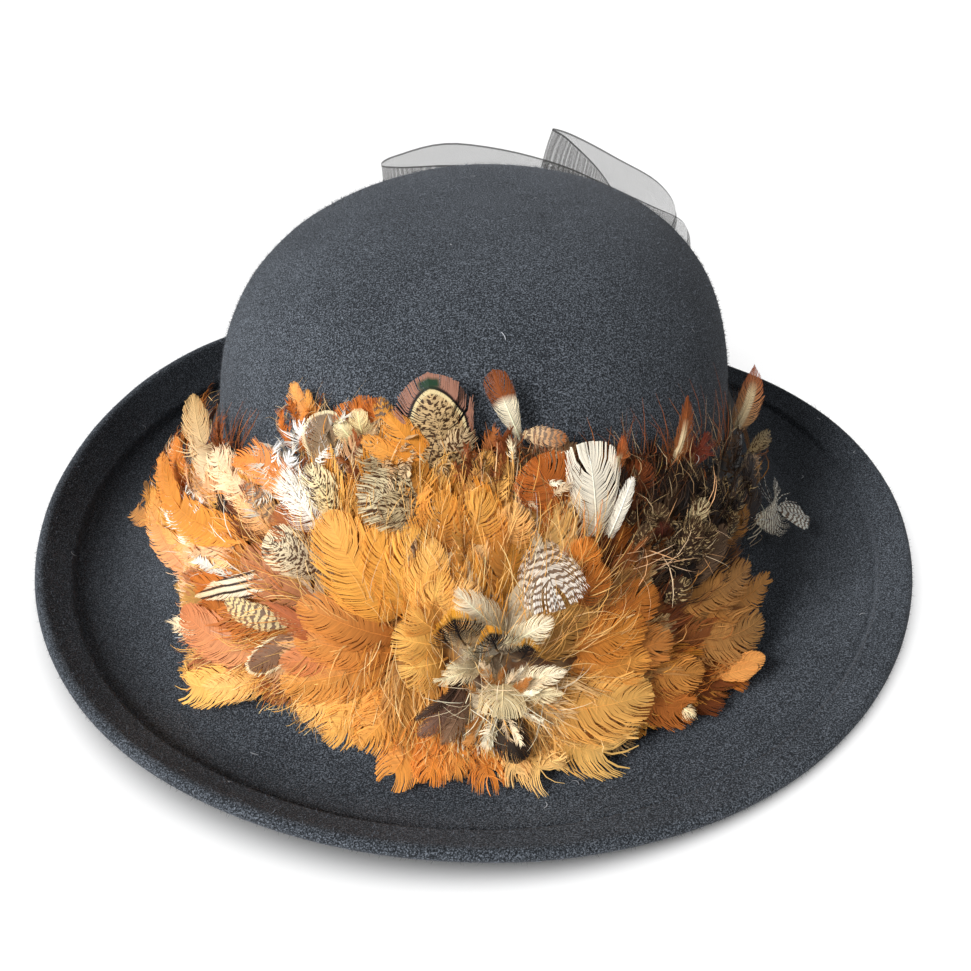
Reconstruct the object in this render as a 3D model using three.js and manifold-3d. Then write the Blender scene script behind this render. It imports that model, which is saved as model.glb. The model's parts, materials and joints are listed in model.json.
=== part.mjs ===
// A woman's felt hat with an upturned brim, a crushed crin band and bow, and a feather pad at the front.
// Millimetres, +Z up. The hat rests on the underside of its brim at z = 0, with its front towards -Y.
// Angles run round the hat from +X (the wearer's left, 0) through +Y (the back, 90) to -X (180).
import * as THREE from 'three';
import Module from 'manifold-3d';

const wasm = await Module();
wasm.setup();

// Driving dimensions of the felt, from a head opening of 57 cm
const FELT = 2.6;
const CROWN = {
  centreX: 0.5, centreY: 8.5, halfWidth: 87, halfDepth: 97.5,
  baseZ: 18, height: 100.8, wallTop: 22, roundness: 2.72, lean: 5.8, leanStart: 20, leanPower: 2.2,
};
const BRIM = {
  halfWidth: 149.4, halfDepth: 155.2, rootFillet: 5, filletSteps: 2, slopeSteps: 4,
  restFrom: 0.56, restWidth: 5, curl: 1.8, tiltStep: 0.5,
};
// Height of the brim's edge at its four quarters, how far it swings between them, and how high its
// waves are, three to a turn, that a hand-blocked brim keeps
const RIM = { right: 6.5, left: 20.2, front: 6.8, back: 10.7, twist: -2.5, waveAcross: 2.4, waveAlong: 2.3 };
const WELT = { width: 9, raise: 1.5, slope: 1.2, edgeSteps: 3 };
const DOME_RINGS = { outside: 9, inside: 7 };

// Crushed ribbon band round the foot of the crown
const BAND = { gap: 0.3, bottom: 5.2, top: 27, clearance: 0.3 };
const BAND_FOLDS = [
  { height: 5.2, proud: 4.6 },
  { height: 11, proud: 6.1 },
  { height: 16, proud: 5.1 },
  { height: 21.5, proud: 6.0 },
  { height: 27, proud: 4.2 },
];

// Feather pad: how high it stands on the crown and how far it reaches over the brim, by angle
const PAD_OUTLINE = [
  { angle: -205, top: 22, reach: 13 },
  { angle: -190, top: 30, reach: 26 },
  { angle: -175, top: 32, reach: 36 },
  { angle: -160, top: 34, reach: 34 },
  { angle: -148, top: 42, reach: 31 },
  { angle: -138, top: 56, reach: 36 },
  { angle: -128, top: 68, reach: 37 },
  { angle: -110, top: 71, reach: 37 },
  { angle: -95, top: 69, reach: 40 },
  { angle: -80, top: 64, reach: 38 },
  { angle: -68, top: 59, reach: 33 },
  { angle: -50, top: 52, reach: 30 },
  { angle: -38, top: 45, reach: 25 },
  { angle: -25, top: 38, reach: 19 },
  { angle: -12, top: 30, reach: 15 },
  { angle: -2, top: 22, reach: 12 },
];
const PAD = {
  topProud: 3, lowTopProud: 7.6, proudFade: 8, hemRise: 3.9, past: 80,
  shoulderReach: 0.26, shoulderRise: 0.7, footReach: 0.76, footRise: 0.12,
  backGap: 0.8, bandGap: 0.7, wallGap: 1, edgeInset: 1.2, stepOver: 4,
  roundSteps: 32, faceSteps: 7, backSteps: 4, tipTurn: 2.5, tipRow: 0.45,
};
// Heights of the backing's inner face where the pad is too low to reach over the band
const LOW_BACK_SHARES = [0.3, 0.45, 0.6, 0.8];

// Rows of feather locks, from the top fringe down to the hem: where they start, which way they point
// (0 points up the crown, 180 out over the brim), and how far each row fans out to the sides
const LOCK_ROWS = [
  { row: 0.04, count: 12, from: -196, to: -14, heading: 4, fan: 34, length: 16, width: 11, tipLift: 2.2 },
  { row: 0.3, count: 9, from: -184, to: -26, heading: 10, fan: 62, length: 24, width: 15, tipLift: 4.6 },
  { row: 0.6, count: 11, from: -184, to: -22, heading: 158, fan: 60, length: 25, width: 15, tipLift: 5 },
  { row: 0.86, count: 15, from: -192, to: -16, heading: 176, fan: 44, length: 19, width: 12, tipLift: 3 },
];
const LOCK = {
  sink: 2.4, thickness: 1.7, liftPower: 0.8, spread: 0.16, spreadTurn: 2.4, fanCentre: -92, fanReach: 100,
  staggerRow: 0.03, staggerLength: 0.12, outward: 90,
};
// Steps to each side of its row that a lock takes in turn, so that no two in a line match
const STAGGER = [-1, 0, 1, -0.5, 0.5];

// Feathers that stand out of the pad, each by the place of its root and tip on the pad's face
const FEATHERS = [
  { name: 'feather_pheasant_front', color: 0x8a6a4c, width: 17, lift: 4.5, bow: 1,
    rootAngle: -93, rootRow: 0.2, tipAngle: -99, tipRow: -0.15 },
  { name: 'feather_pheasant_left', color: 0xb79a70, width: 13, lift: 6, bow: 1,
    rootAngle: -109, rootRow: 0.42, tipAngle: -123, tipRow: 0.33 },
  { name: 'feather_barred_left', color: 0xcbb598, width: 7, lift: 6, bow: 1.5,
    rootAngle: -118, rootRow: 0.53, tipAngle: -136, tipRow: 0.62 },
  { name: 'feather_salmon_left', color: 0xb8703f, width: 14, lift: 5, bow: 1.5,
    rootAngle: -120, rootRow: 0.76, tipAngle: -138, tipRow: 0.7 },
  { name: 'feather_gold_front', color: 0xd08a35, width: 18, lift: 4.5, bow: 2,
    rootAngle: -99, rootRow: 0.6, tipAngle: -112, tipRow: 0.28 },
  { name: 'feather_gold_left', color: 0xc98236, width: 10, lift: 7, bow: 3,
    rootAngle: -126, rootRow: 0.36, tipAngle: -168, tipRow: 0.3 },
  { name: 'feather_buff_left', color: 0xd9ba8a, width: 11, lift: 8, bow: 1,
    rootAngle: -160, rootRow: 0.2, tipAngle: -176, tipRow: -0.26 },
  { name: 'feather_rust_front', color: 0xa8561f, width: 15, lift: 4, bow: 1,
    rootAngle: -82, rootRow: 0.24, tipAngle: -74, tipRow: 0.01 },
  { name: 'feather_white_fan', color: 0xe6dcc8, width: 12, lift: 6, bow: 1,
    rootAngle: -66, rootRow: 0.37, tipAngle: -67.5, tipRow: -0.02 },
  { name: 'feather_barred_front', color: 0xd8d0cc, width: 14, lift: 5, bow: 1.5,
    rootAngle: -79.5, rootRow: 0.26, tipAngle: -75, tipRow: 0.52 },
  { name: 'feather_white_top', color: 0xe0cba6, width: 7, lift: 4, bow: 1,
    rootAngle: -80.5, rootRow: 0.1, tipAngle: -86.5, tipRow: -0.2 },
  { name: 'feather_barred_right', color: 0xcdbfae, width: 10, lift: 6, bow: 1,
    rootAngle: -26, rootRow: 0.62, tipAngle: -12, tipRow: 1.2 },
];
const FEATHER = { thickness: 1.4, rootSink: 1.6, pocket: 0.4 };
// Thickness at a leaf's ends and below its middle, as shares, and the step that finds which way it runs
const LEAF = { endThickness: 0.5, under: 0.5, step: 0.02 };
// How wide a feather is along its length, as a share of its full width
const FEATHER_OUTLINE = [
  { along: 0.06, share: 0.3 },
  { along: 0.28, share: 0.78 },
  { along: 0.55, share: 1 },
  { along: 0.8, share: 0.86 },
  { along: 0.94, share: 0.5 },
];
const LOCK_OUTLINE = [
  { along: 0.1, share: 0.5 },
  { along: 0.45, share: 1 },
  { along: 0.78, share: 0.72 },
];

// Crin bow at the back: the middle line of each loop from the knot round its fold and back,
// half of the ribbon's width there, and how far the ribbon leans over to the right
const RIBBON = { thickness: 1.2, stepsPerRow: 2, knotGap: 0.35 };
const LOOP_LEFT = [
  { x: 78.4, y: 88.2, z: 46, half: 9, lean: 0 },
  { x: 87.6, y: 92.2, z: 49, half: 15, lean: 0 },
  { x: 89, y: 103, z: 51, half: 22, lean: 0 },
  { x: 77, y: 114, z: 50, half: 27, lean: 0 },
  { x: 55, y: 122, z: 54, half: 31, lean: 0.03 },
  { x: 31, y: 126, z: 60, half: 34, lean: 0.05 },
  { x: -5, y: 129, z: 64, half: 37, lean: 0.02 },
  { x: -28, y: 124.5, z: 62, half: 36, lean: -0.05 },
  { x: -34, y: 119, z: 61, half: 35, lean: -0.06 },
  { x: -27, y: 115.2, z: 61, half: 35, lean: -0.04 },
  { x: -5, y: 115, z: 61, half: 35, lean: 0 },
  { x: 20, y: 112, z: 60, half: 34, lean: 0 },
  { x: 40, y: 104.8, z: 57, half: 29, lean: 0 },
  { x: 55, y: 95.4, z: 52, half: 21, lean: 0 },
  { x: 65, y: 87.3, z: 48, half: 13, lean: 0 },
  { x: 70.1, y: 82.1, z: 46, half: 9, lean: 0 },
];
const LOOP_RIGHT = [
  { x: 74.4, y: 85.7, z: 46, half: 9, lean: 0 },
  { x: 77.8, y: 92.4, z: 54, half: 16, lean: 0.1 },
  { x: 80.5, y: 100.5, z: 58, half: 22, lean: 0.18 },
  { x: 71, y: 108.5, z: 62, half: 28, lean: 0.22 },
  { x: 52, y: 115.5, z: 67, half: 32, lean: 0.25 },
  { x: 33, y: 118, z: 73, half: 35, lean: 0.27 },
  { x: 24.5, y: 116, z: 75, half: 36, lean: 0.28 },
  { x: 32, y: 113.2, z: 72, half: 35, lean: 0.27 },
  { x: 47, y: 107, z: 65, half: 30, lean: 0.22 },
  { x: 60, y: 98.5, z: 57, half: 22, lean: 0.15 },
  { x: 68.1, y: 89.8, z: 50, half: 14, lean: 0.06 },
  { x: 72.4, y: 84, z: 46, half: 9, lean: 0 },
];
const KNOT = {
  x: 75.6, y: 80.1, z: 45, turn: 38, halfOut: 7.2, halfRound: 7, halfTall: 13, squareness: 2.6, steps: 12,
};
// Latitudes of the knot's rings, in degrees
const KNOT_LEVELS = [-80, -58, 0, 58, 80];

const ROUND_STEPS = 56;
const SPAN_STEPS = 8;
const SLIVER = 0.06;
const radians = THREE.MathUtils.degToRad;

const COLORS = { felt: 0x2f3238, crin: 0x17181b, plume: 0xc8813a };

// Surfaces of the hat that every other piece is set on

// A value that eases from 0 to 1 as t goes from 0 to 1
function ease(t) {
  const s = THREE.MathUtils.clamp(t, 0, 1);
  return (1 - Math.cos(Math.PI * s)) / 2;
}

// Height of the brim's edge at an angle in radians, swinging between its four quarters
function rimHeight(a) {
  const mean = (RIM.right + RIM.left + RIM.front + RIM.back) / 4;
  const sides = (RIM.right + RIM.left - RIM.front - RIM.back) / 4;
  return mean + (RIM.right - RIM.left) / 2 * Math.cos(a) + (RIM.back - RIM.front) / 2 * Math.sin(a)
    + sides * Math.cos(2 * a) + RIM.twist * Math.sin(2 * a)
    + RIM.waveAcross * Math.cos(3 * a) + RIM.waveAlong * Math.sin(3 * a);
}

// Share of the crown's full size at a height over its base
function crownShare(height, reduce = 0) {
  const k = THREE.MathUtils.clamp((height - CROWN.wallTop) / (CROWN.height - reduce - CROWN.wallTop), 0, 1);
  return (1 - k ** CROWN.roundness) ** (1 / CROWN.roundness);
}

// Sideways lean of the crown at a height over its base
function crownLean(height) {
  const s = Math.max(0, (height - CROWN.leanStart) / (CROWN.height - CROWN.leanStart));
  return CROWN.lean * s ** CROWN.leanPower;
}

// Point on the crown's outside, or on its inside when it is inset
function crownPoint(a, height, inset = 0) {
  const share = crownShare(height, inset);
  return new THREE.Vector3(
    CROWN.centreX + (CROWN.halfWidth - inset) * share * Math.cos(a) + crownLean(height),
    CROWN.centreY + (CROWN.halfDepth - inset) * share * Math.sin(a),
    CROWN.baseZ + height,
  );
}

// Foot of the crown, the brim's edge and the level way out from one to the other
function spoke(a) {
  const foot = new THREE.Vector3(CROWN.centreX + CROWN.halfWidth * Math.cos(a),
    CROWN.centreY + CROWN.halfDepth * Math.sin(a), 0);
  const edge = new THREE.Vector3(BRIM.halfWidth * Math.cos(a), BRIM.halfDepth * Math.sin(a), 0);
  const way = edge.clone().sub(foot);
  const width = way.length();
  return { foot, width, way: way.divideScalar(width) };
}

// Where the level ring that the brim rests on starts and ends, out from the crown's foot
function restRing(width) {
  const restStart = BRIM.restFrom * width;
  return [restStart, restStart + BRIM.restWidth];
}

// Height over the table of the brim's upper face without its welt, out from the crown's foot
function brimHeight(a, out) {
  const { width } = spoke(a);
  const [restStart, restEnd] = restRing(width);
  const slope = ease((out - BRIM.rootFillet) / (restStart - BRIM.rootFillet));
  const curl = THREE.MathUtils.clamp((out - restEnd) / (width - restEnd), 0, 1) ** BRIM.curl;
  return CROWN.baseZ + (FELT - CROWN.baseZ) * slope + (rimHeight(a) - FELT) * curl;
}

// Point a distance out from the crown's wall, at a height over the crown's base
function place(a, out, height) {
  const { way } = spoke(a);
  const p = crownPoint(a, Math.max(height, 0));
  p.addScaledVector(way, out);
  p.z = CROWN.baseZ + height;
  return p;
}

// Meshes

// Closed mesh over rings of equal count: a loop of rings, or one closed by a point at each end
function skin(rings, first = null, last = null) {
  const count = rings[0].length;
  const points = rings.flat();
  const faces = [];
  const quad = (i, j) => {
    for (let k = 0; k < count; k += 1) {
      const n = (k + 1) % count;
      faces.push(i * count + k, j * count + k, j * count + n, i * count + k, j * count + n, i * count + n);
    }
  };
  for (let i = 0; i + 1 < rings.length; i += 1) quad(i, i + 1);
  if (first === null) {
    quad(rings.length - 1, 0);
  } else {
    const start = points.push(first) - 1;
    const end = points.push(last) - 1;
    const base = (rings.length - 1) * count;
    for (let k = 0; k < count; k += 1) {
      const n = (k + 1) % count;
      faces.push(start, k, n, end, base + n, base + k);
    }
  }
  return outward(points, faces);
}

// Geometry whose faces point outwards
function outward(points, faces) {
  let volume = 0;
  for (let i = 0; i < faces.length; i += 3) {
    const [p, q, r] = [points[faces[i]], points[faces[i + 1]], points[faces[i + 2]]];
    volume += p.dot(q.clone().cross(r));
  }
  if (volume < 0) faces.reverse();
  const geometry = new THREE.BufferGeometry();
  geometry.setAttribute('position', new THREE.Float32BufferAttribute(points.flatMap((p) => p.toArray()), 3));
  geometry.setIndex(faces);
  return geometry;
}

function toSolid(geometry) {
  return new wasm.Manifold(new wasm.Mesh({
    numProp: 3,
    vertProperties: new Float32Array(geometry.attributes.position.array),
    triVerts: new Uint32Array(geometry.index.array),
  }));
}

function toGeometry(solid) {
  const mesh = solid.getMesh();
  const geometry = new THREE.BufferGeometry();
  geometry.setAttribute('position', new THREE.Float32BufferAttribute(mesh.vertProperties, 3));
  geometry.setIndex(Array.from(mesh.triVerts));
  return geometry;
}

// The largest of the bodies that a cut leaves
function largest(solid) {
  const bodies = solid.decompose();
  return bodies.reduce((best, body) => (body.volume() > best.volume() ? body : best));
}

function named(name, geometry, color, roughness = 0.9) {
  const shaded = geometry.toNonIndexed();
  shaded.computeVertexNormals();
  const mesh = new THREE.Mesh(shaded, new THREE.MeshStandardMaterial({ color, roughness, metalness: 0 }));
  mesh.name = name;
  return mesh;
}

function ringAngles(steps = ROUND_STEPS) {
  return Array.from({ length: steps }, (_, i) => 2 * Math.PI * i / steps);
}

// Felt body: crown and brim blocked from one hood, with the brim's edge folded over and stitched

// Heights over the crown's base of its rings, close together where the dome turns
function domeHeights(reduce) {
  const heights = [];
  const rings = reduce > 0 ? DOME_RINGS.inside : DOME_RINGS.outside;
  for (let i = 1; i <= rings; i += 1) {
    const turn = Math.PI / 2 * i / rings;
    const rise = Math.cos(turn) ** (2 / CROWN.roundness);
    heights.push(CROWN.wallTop + (CROWN.height - reduce - CROWN.wallTop) * (i === rings ? 0 : rise));
  }
  return heights;
}

// Places across the brim, out from the crown's foot, with two rings at the welt's inner line above
function brimStations(width, under) {
  const [restStart, restEnd] = restRing(width);
  const welt = width - WELT.width;
  const span = restStart - BRIM.rootFillet;
  const slope = Array.from({ length: BRIM.slopeSteps },
    (_, i) => BRIM.rootFillet + i / BRIM.slopeSteps * span);
  const middle = (restEnd + welt) / 2;
  if (under) return [...slope, restStart, restEnd, middle, welt, width];
  return [...slope, restStart, restEnd, middle, welt - WELT.slope, welt, width - WELT.width / 2, width];
}

// Profile of the brim from the crown's wall to the edge: the upper face, or the underside
function brimProfile(a, under) {
  const { width } = spoke(a);
  const corner = BRIM.rootFillet;
  const level = [corner, ...restRing(width)];
  const points = [];
  for (let i = 0; i < BRIM.filletSteps; i += 1) {
    const turn = Math.PI / 2 * i / BRIM.filletSteps;
    const radius = under ? corner + FELT : corner;
    points.push({ out: corner - radius * Math.cos(turn), z: CROWN.baseZ + corner - radius * Math.sin(turn) });
  }
  for (const out of brimStations(width, under)) {
    const before = out - BRIM.tiltStep;
    const after = Math.min(out + BRIM.tiltStep, width);
    const rise = (brimHeight(a, after) - brimHeight(a, before)) / (after - before);
    const tilt = level.includes(out) ? 0 : Math.atan(rise);
    const raised = out >= width - WELT.width ? WELT.raise : 0;
    const offset = under ? -FELT : raised;
    const z = brimHeight(a, out) + offset * Math.cos(tilt);
    points.push({ out: out - offset * Math.sin(tilt), z });
  }
  return points;
}

function feltBody() {
  const angles = ringAngles();
  const dome = (inset) => domeHeights(inset).map((height) => angles.map((a) => crownPoint(a, height, inset)));
  const upper = angles.map((a) => brimProfile(a, false));
  const lower = angles.map((a) => brimProfile(a, true));
  const at = (a, p) => {
    const { foot, way } = spoke(a);
    const point = foot.clone().addScaledVector(way, p.out);
    point.z = p.z;
    return point;
  };
  const brimRings = (profiles) => profiles[0].map((_, i) => angles.map((a, k) => at(a, profiles[k][i])));
  // The folded edge is a half round between the upper face and the underside
  const edge = [];
  for (let i = 1; i <= WELT.edgeSteps; i += 1) {
    const turn = Math.PI * i / (WELT.edgeSteps + 1);
    edge.push(angles.map((a, k) => {
      const top = at(a, upper[k].at(-1));
      const bottom = at(a, lower[k].at(-1));
      const middle = top.clone().add(bottom).multiplyScalar(0.5);
      const half = top.clone().sub(middle);
      const way = spoke(a).way.clone();
      const out = new THREE.Vector3().crossVectors(half, new THREE.Vector3(-way.y, way.x, 0)).normalize();
      if (out.dot(way) < 0) out.negate();
      middle.addScaledVector(half, Math.cos(turn));
      return middle.addScaledVector(out, half.length() * Math.sin(turn));
    }));
  }
  const rings = [
    ...dome(0), ...brimRings(upper), ...edge, ...brimRings(lower).reverse(), ...dome(FELT).reverse(),
  ];
  const apex = new THREE.Vector3(CROWN.centreX + CROWN.lean, CROWN.centreY, CROWN.baseZ + CROWN.height);
  const ceiling = apex.clone().setZ(apex.z - FELT);
  return skin(rings, apex, ceiling);
}

// Crushed crin band round the foot of the crown, grown by a clearance when it is used as a cut
function crinBand(grow = 0) {
  const folds = BAND_FOLDS.map((fold) => ({ ...fold }));
  folds[0].height -= grow;
  folds.at(-1).height += grow;
  const section = [
    { out: BAND.gap - grow, height: BAND.bottom - grow },
    ...folds.map((fold) => ({ out: fold.proud + grow, height: fold.height })),
    { out: BAND.gap - grow, height: BAND.top + grow },
  ];
  return skin(ringAngles().map((a) => section.map((p) => place(a, p.out, p.height))));
}

// Feather pad

// Top and reach of the pad at an angle in degrees, eased between the rows of its outline
function padOutline(degrees) {
  const rows = PAD_OUTLINE;
  const last = rows.length - 1;
  if (degrees <= rows[0].angle) return rows[0];
  if (degrees >= rows[last].angle) return rows[last];
  const i = rows.findIndex((row) => row.angle > degrees);
  const share = (degrees - rows[i - 1].angle) / (rows[i].angle - rows[i - 1].angle);
  return {
    top: THREE.MathUtils.lerp(rows[i - 1].top, rows[i].top, share),
    reach: THREE.MathUtils.lerp(rows[i - 1].reach, rows[i].reach, share),
  };
}

// How far the pad's top edge stands off the crown: more where it ends in front of the band
function topProud(top) {
  const share = THREE.MathUtils.clamp((top - BAND.top) / PAD.proudFade, 0, 1);
  return THREE.MathUtils.lerp(PAD.lowTopProud, PAD.topProud, share);
}

// Point on the pad's face: row 0 is its top edge and row 1 its hem, and it runs on past both
function padFace(degrees, row) {
  const a = radians(degrees);
  const { top, reach } = padOutline(degrees);
  const rise = (out) => brimHeight(a, out) - CROWN.baseZ;
  if (row < 0) return place(a, topProud(top), top - row * PAD.past);
  if (row > 1) {
    const out = reach + (row - 1) * PAD.past;
    return place(a, out, rise(out) + PAD.hemRise);
  }
  const curve = new THREE.CubicBezierCurve(
    new THREE.Vector2(topProud(top), top),
    new THREE.Vector2(topProud(top) + PAD.shoulderReach * reach, PAD.shoulderRise * top),
    new THREE.Vector2(PAD.footReach * reach, PAD.footRise * top),
    new THREE.Vector2(reach, rise(reach) + PAD.hemRise),
  );
  const p = curve.getPoint(row);
  return place(a, p.x, p.y);
}

// The pad's face with the way out of it there
function padFrame(degrees, row) {
  const point = padFace(degrees, row);
  const around = padFace(degrees + 1, row).sub(padFace(degrees - 1, row));
  const down = padFace(degrees, row + LEAF.step).sub(padFace(degrees, row - LEAF.step));
  return { point, out: down.cross(around).normalize() };
}

// Length of the pad's face from its top edge to its hem, and its distance from the hat's middle
function padSpans(degrees) {
  const rows = Array.from({ length: SPAN_STEPS + 1 }, (_, i) => padFace(degrees, i / SPAN_STEPS));
  const tall = rows.slice(1).reduce((sum, p, i) => sum + p.distanceTo(rows[i]), 0);
  const middle = padFace(degrees, 0.5);
  return { tall, radius: Math.hypot(middle.x - CROWN.centreX, middle.y - CROWN.centreY) };
}

// Backing of the pad: a bent slab from the crown's wall over the band and out on the brim
function padBacking() {
  const ring = (degrees) => {
    const a = radians(degrees);
    const { top, reach } = padOutline(degrees);
    const face = Array.from({ length: PAD.faceSteps + 1 }, (_, i) => padFace(degrees, i / PAD.faceSteps));
    const onBrim = (out) => place(a, out, brimHeight(a, out) - CROWN.baseZ + PAD.backGap);
    const bandFace = Math.max(...BAND_FOLDS.map((fold) => fold.proud)) + PAD.bandGap;
    const inner = bandFace + PAD.edgeInset;
    const outer = reach - PAD.edgeInset;
    const back = Array.from({ length: PAD.backSteps + 1 },
      (_, i) => onBrim(THREE.MathUtils.lerp(outer, inner, i / PAD.backSteps)));
    const above = BAND.top + PAD.stepOver;
    const crest = top - PAD.edgeInset;
    const tall = crest > above + PAD.stepOver;
    const heights = tall ? [BAND.top + PAD.edgeInset, above, (2 * above + crest) / 3, (above + 2 * crest) / 3]
      : LOW_BACK_SHARES.map((s) => s * top);
    for (const [i, height] of [...heights, crest].entries()) {
      back.push(place(a, tall && i > 0 ? PAD.wallGap : bandFace, height));
    }
    return [...face, ...back];
  };
  // The rings stand on the felt's own facets, from the left of the back round the front to the right
  const angles = Array.from({ length: PAD.roundSteps + 1 },
    (_, i) => 360 * (i - PAD.roundSteps) / ROUND_STEPS);
  const tipOf = (degrees) => padFace(degrees, PAD.tipRow);
  return skin(angles.map(ring), tipOf(angles[0] - PAD.tipTurn), tipOf(angles.at(-1) + PAD.tipTurn));
}

// A feather or lock: a flat leaf with a ridge, laid along a line of the pad's face
function leaf(line, outline, halfWidth, thickness, grow = 0) {
  const wayAt = (along) => line(along + LEAF.step).point.sub(line(along - LEAF.step).point).normalize();
  const rings = outline.map(({ along, share }) => {
    const { point, out } = line(along);
    const way = wayAt(along);
    const side = new THREE.Vector3().crossVectors(way, out).normalize();
    const up = new THREE.Vector3().crossVectors(side, way).normalize();
    const wide = halfWidth * share + grow;
    const thick = thickness * THREE.MathUtils.lerp(LEAF.endThickness, 1, share) + grow;
    return [
      point.clone().addScaledVector(side, wide),
      point.clone().addScaledVector(up, thick),
      point.clone().addScaledVector(side, -wide),
      point.clone().addScaledVector(up, -(thick + grow) * LEAF.under),
    ];
  });
  const end = (along, sign) => line(along).point.addScaledVector(wayAt(along), sign * grow);
  return skin(rings, end(0, -1), end(1, 1));
}

// Line of a standing feather from its sunk root to its lifted tip
function featherLine(f) {
  return (along) => {
    const t = THREE.MathUtils.clamp(along, 0, 1);
    const degrees = THREE.MathUtils.lerp(f.rootAngle, f.tipAngle, t);
    const row = THREE.MathUtils.lerp(f.rootRow, f.tipRow, t);
    const frame = padFrame(degrees, row);
    const rise = (f.lift + FEATHER.rootSink) * Math.sqrt(t) + f.bow * Math.sin(Math.PI * t);
    frame.point.addScaledVector(frame.out, rise - FEATHER.rootSink);
    return frame;
  };
}

function featherGeometry(f, grow = 0) {
  return leaf(featherLine(f), FEATHER_OUTLINE, f.width / 2, FEATHER.thickness, grow);
}

// Line of one lock of a row, from inside the backing to its lifted tip
function lockLine(rowSizes, index) {
  const share = (index + 0.5) / rowSizes.count;
  const stagger = STAGGER[index % STAGGER.length];
  const start = THREE.MathUtils.lerp(rowSizes.from, rowSizes.to, share);
  const startRow = rowSizes.row + LOCK.staggerRow * stagger;
  const { tall, radius } = padSpans(start);
  const side = (start - LOCK.fanCentre) / LOCK.fanReach;
  const fan = rowSizes.heading > LOCK.outward ? -rowSizes.fan : rowSizes.fan;
  const turn = radians(rowSizes.heading * Math.sign(side) + fan * side);
  const length = rowSizes.length * (1 + LOCK.staggerLength * stagger);
  const sweep = THREE.MathUtils.radToDeg(length * Math.sin(turn) / radius);
  const climb = -length * Math.cos(turn) / tall;
  return (along) => {
    const t = THREE.MathUtils.clamp(along, 0, 1);
    const frame = padFrame(start + sweep * t, startRow + climb * t);
    const lift = -LOCK.sink + (rowSizes.tipLift + LOCK.sink) * t ** LOCK.liftPower;
    frame.point.addScaledVector(frame.out, lift);
    return frame;
  };
}

function featherPad(feathers) {
  const joined = [toSolid(padBacking())];
  for (const rowSizes of LOCK_ROWS) {
    for (let i = 0; i < rowSizes.count; i += 1) {
      const width = rowSizes.width * (1 + LOCK.spread * Math.sin(i * LOCK.spreadTurn));
      joined.push(toSolid(leaf(lockLine(rowSizes, i), LOCK_OUTLINE, width / 2, LOCK.thickness)));
    }
  }
  const cut = feathers.map((f) => toSolid(featherGeometry(f, FEATHER.pocket)));
  cut.push(toSolid(crinBand(BAND.clearance)));
  const pad = wasm.Manifold.union(joined).subtract(wasm.Manifold.union(cut));
  return toGeometry(largest(pad.simplify(SLIVER)));
}

// Crin bow

// A ribbon loop swept through the rows of its table, cut back where the knot holds it
function ribbonLoop(rows, knot) {
  const centres = new THREE.CatmullRomCurve3(rows.map((r) => new THREE.Vector3(r.x, r.y, r.z)));
  const sizes = new THREE.CatmullRomCurve3(rows.map((r) => new THREE.Vector3(r.half, r.lean, 0)));
  const steps = (rows.length - 1) * RIBBON.stepsPerRow;
  const rings = Array.from({ length: steps + 1 }, (_, i) => {
    const t = i / steps;
    const centre = centres.getPoint(t);
    const size = sizes.getPoint(t);
    const along = centres.getTangent(t);
    const up = new THREE.Vector3(size.y, 0, 1).normalize();
    const face = new THREE.Vector3().crossVectors(along, up).normalize();
    const corner = (high, front) => centre.clone().addScaledVector(up, high * size.x)
      .addScaledVector(face, front * RIBBON.thickness / 2);
    return [corner(1, 1), corner(1, -1), corner(-1, -1), corner(-1, 1)];
  });
  const loop = toSolid(skin(rings, centres.getPoint(0), centres.getPoint(1)));
  return toGeometry(largest(loop.subtract(toSolid(knot))));
}

// The knot is a rounded block of wrapped ribbon that sits on the band
function bowKnot(grow = 0) {
  const turn = radians(KNOT.turn);
  const outWay = new THREE.Vector3(Math.cos(turn), Math.sin(turn), 0);
  const roundWay = new THREE.Vector3(-Math.sin(turn), Math.cos(turn), 0);
  const centre = new THREE.Vector3(KNOT.x, KNOT.y, KNOT.z);
  const soft = (value) => Math.sign(value) * Math.abs(value) ** (2 / KNOT.squareness);
  const rings = KNOT_LEVELS.map((latitude) => {
    const tall = soft(Math.sin(radians(latitude)));
    const wide = soft(Math.cos(radians(latitude)));
    return ringAngles(KNOT.steps).map((a) => centre.clone()
      .addScaledVector(outWay, (KNOT.halfOut + grow) * wide * soft(Math.cos(a)))
      .addScaledVector(roundWay, (KNOT.halfRound + grow) * wide * soft(Math.sin(a)))
      .addScaledVector(new THREE.Vector3(0, 0, 1), (KNOT.halfTall + grow) * tall));
  });
  const tip = (sign) => centre.clone().setZ(centre.z + sign * (KNOT.halfTall + grow));
  return skin(rings, tip(-1), tip(1));
}

// The hat
const hat = new THREE.Group();
hat.add(named('felt_body', feltBody(), COLORS.felt));
hat.add(named('crin_band', crinBand(), COLORS.crin, 0.6));
hat.add(named('crin_knot', bowKnot(), COLORS.crin, 0.6));
const knotRoom = bowKnot(RIBBON.knotGap);
hat.add(named('crin_loop_left', ribbonLoop(LOOP_LEFT, knotRoom), COLORS.crin, 0.5));
hat.add(named('crin_loop_right', ribbonLoop(LOOP_RIGHT, knotRoom), COLORS.crin, 0.5));
hat.add(named('feather_pad', featherPad(FEATHERS), COLORS.plume));
for (const f of FEATHERS) hat.add(named(f.name, featherGeometry(f), f.color));

export default hat;
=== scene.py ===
"""A woman's felt hat with a crin bow and a pad of pheasant and cock feathers, dressed for a render.

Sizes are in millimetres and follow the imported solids; meshes are made in metres.
Angles run round the hat from +X (0, the wearer's left) through +Y (90, the back) to -X (180).
"""
import json
import logging
import math
from dataclasses import dataclass, field, replace
from enum import Enum
from typing import Any, Optional

import bpy
import numpy as np
from mathutils import Matrix, Vector


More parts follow.
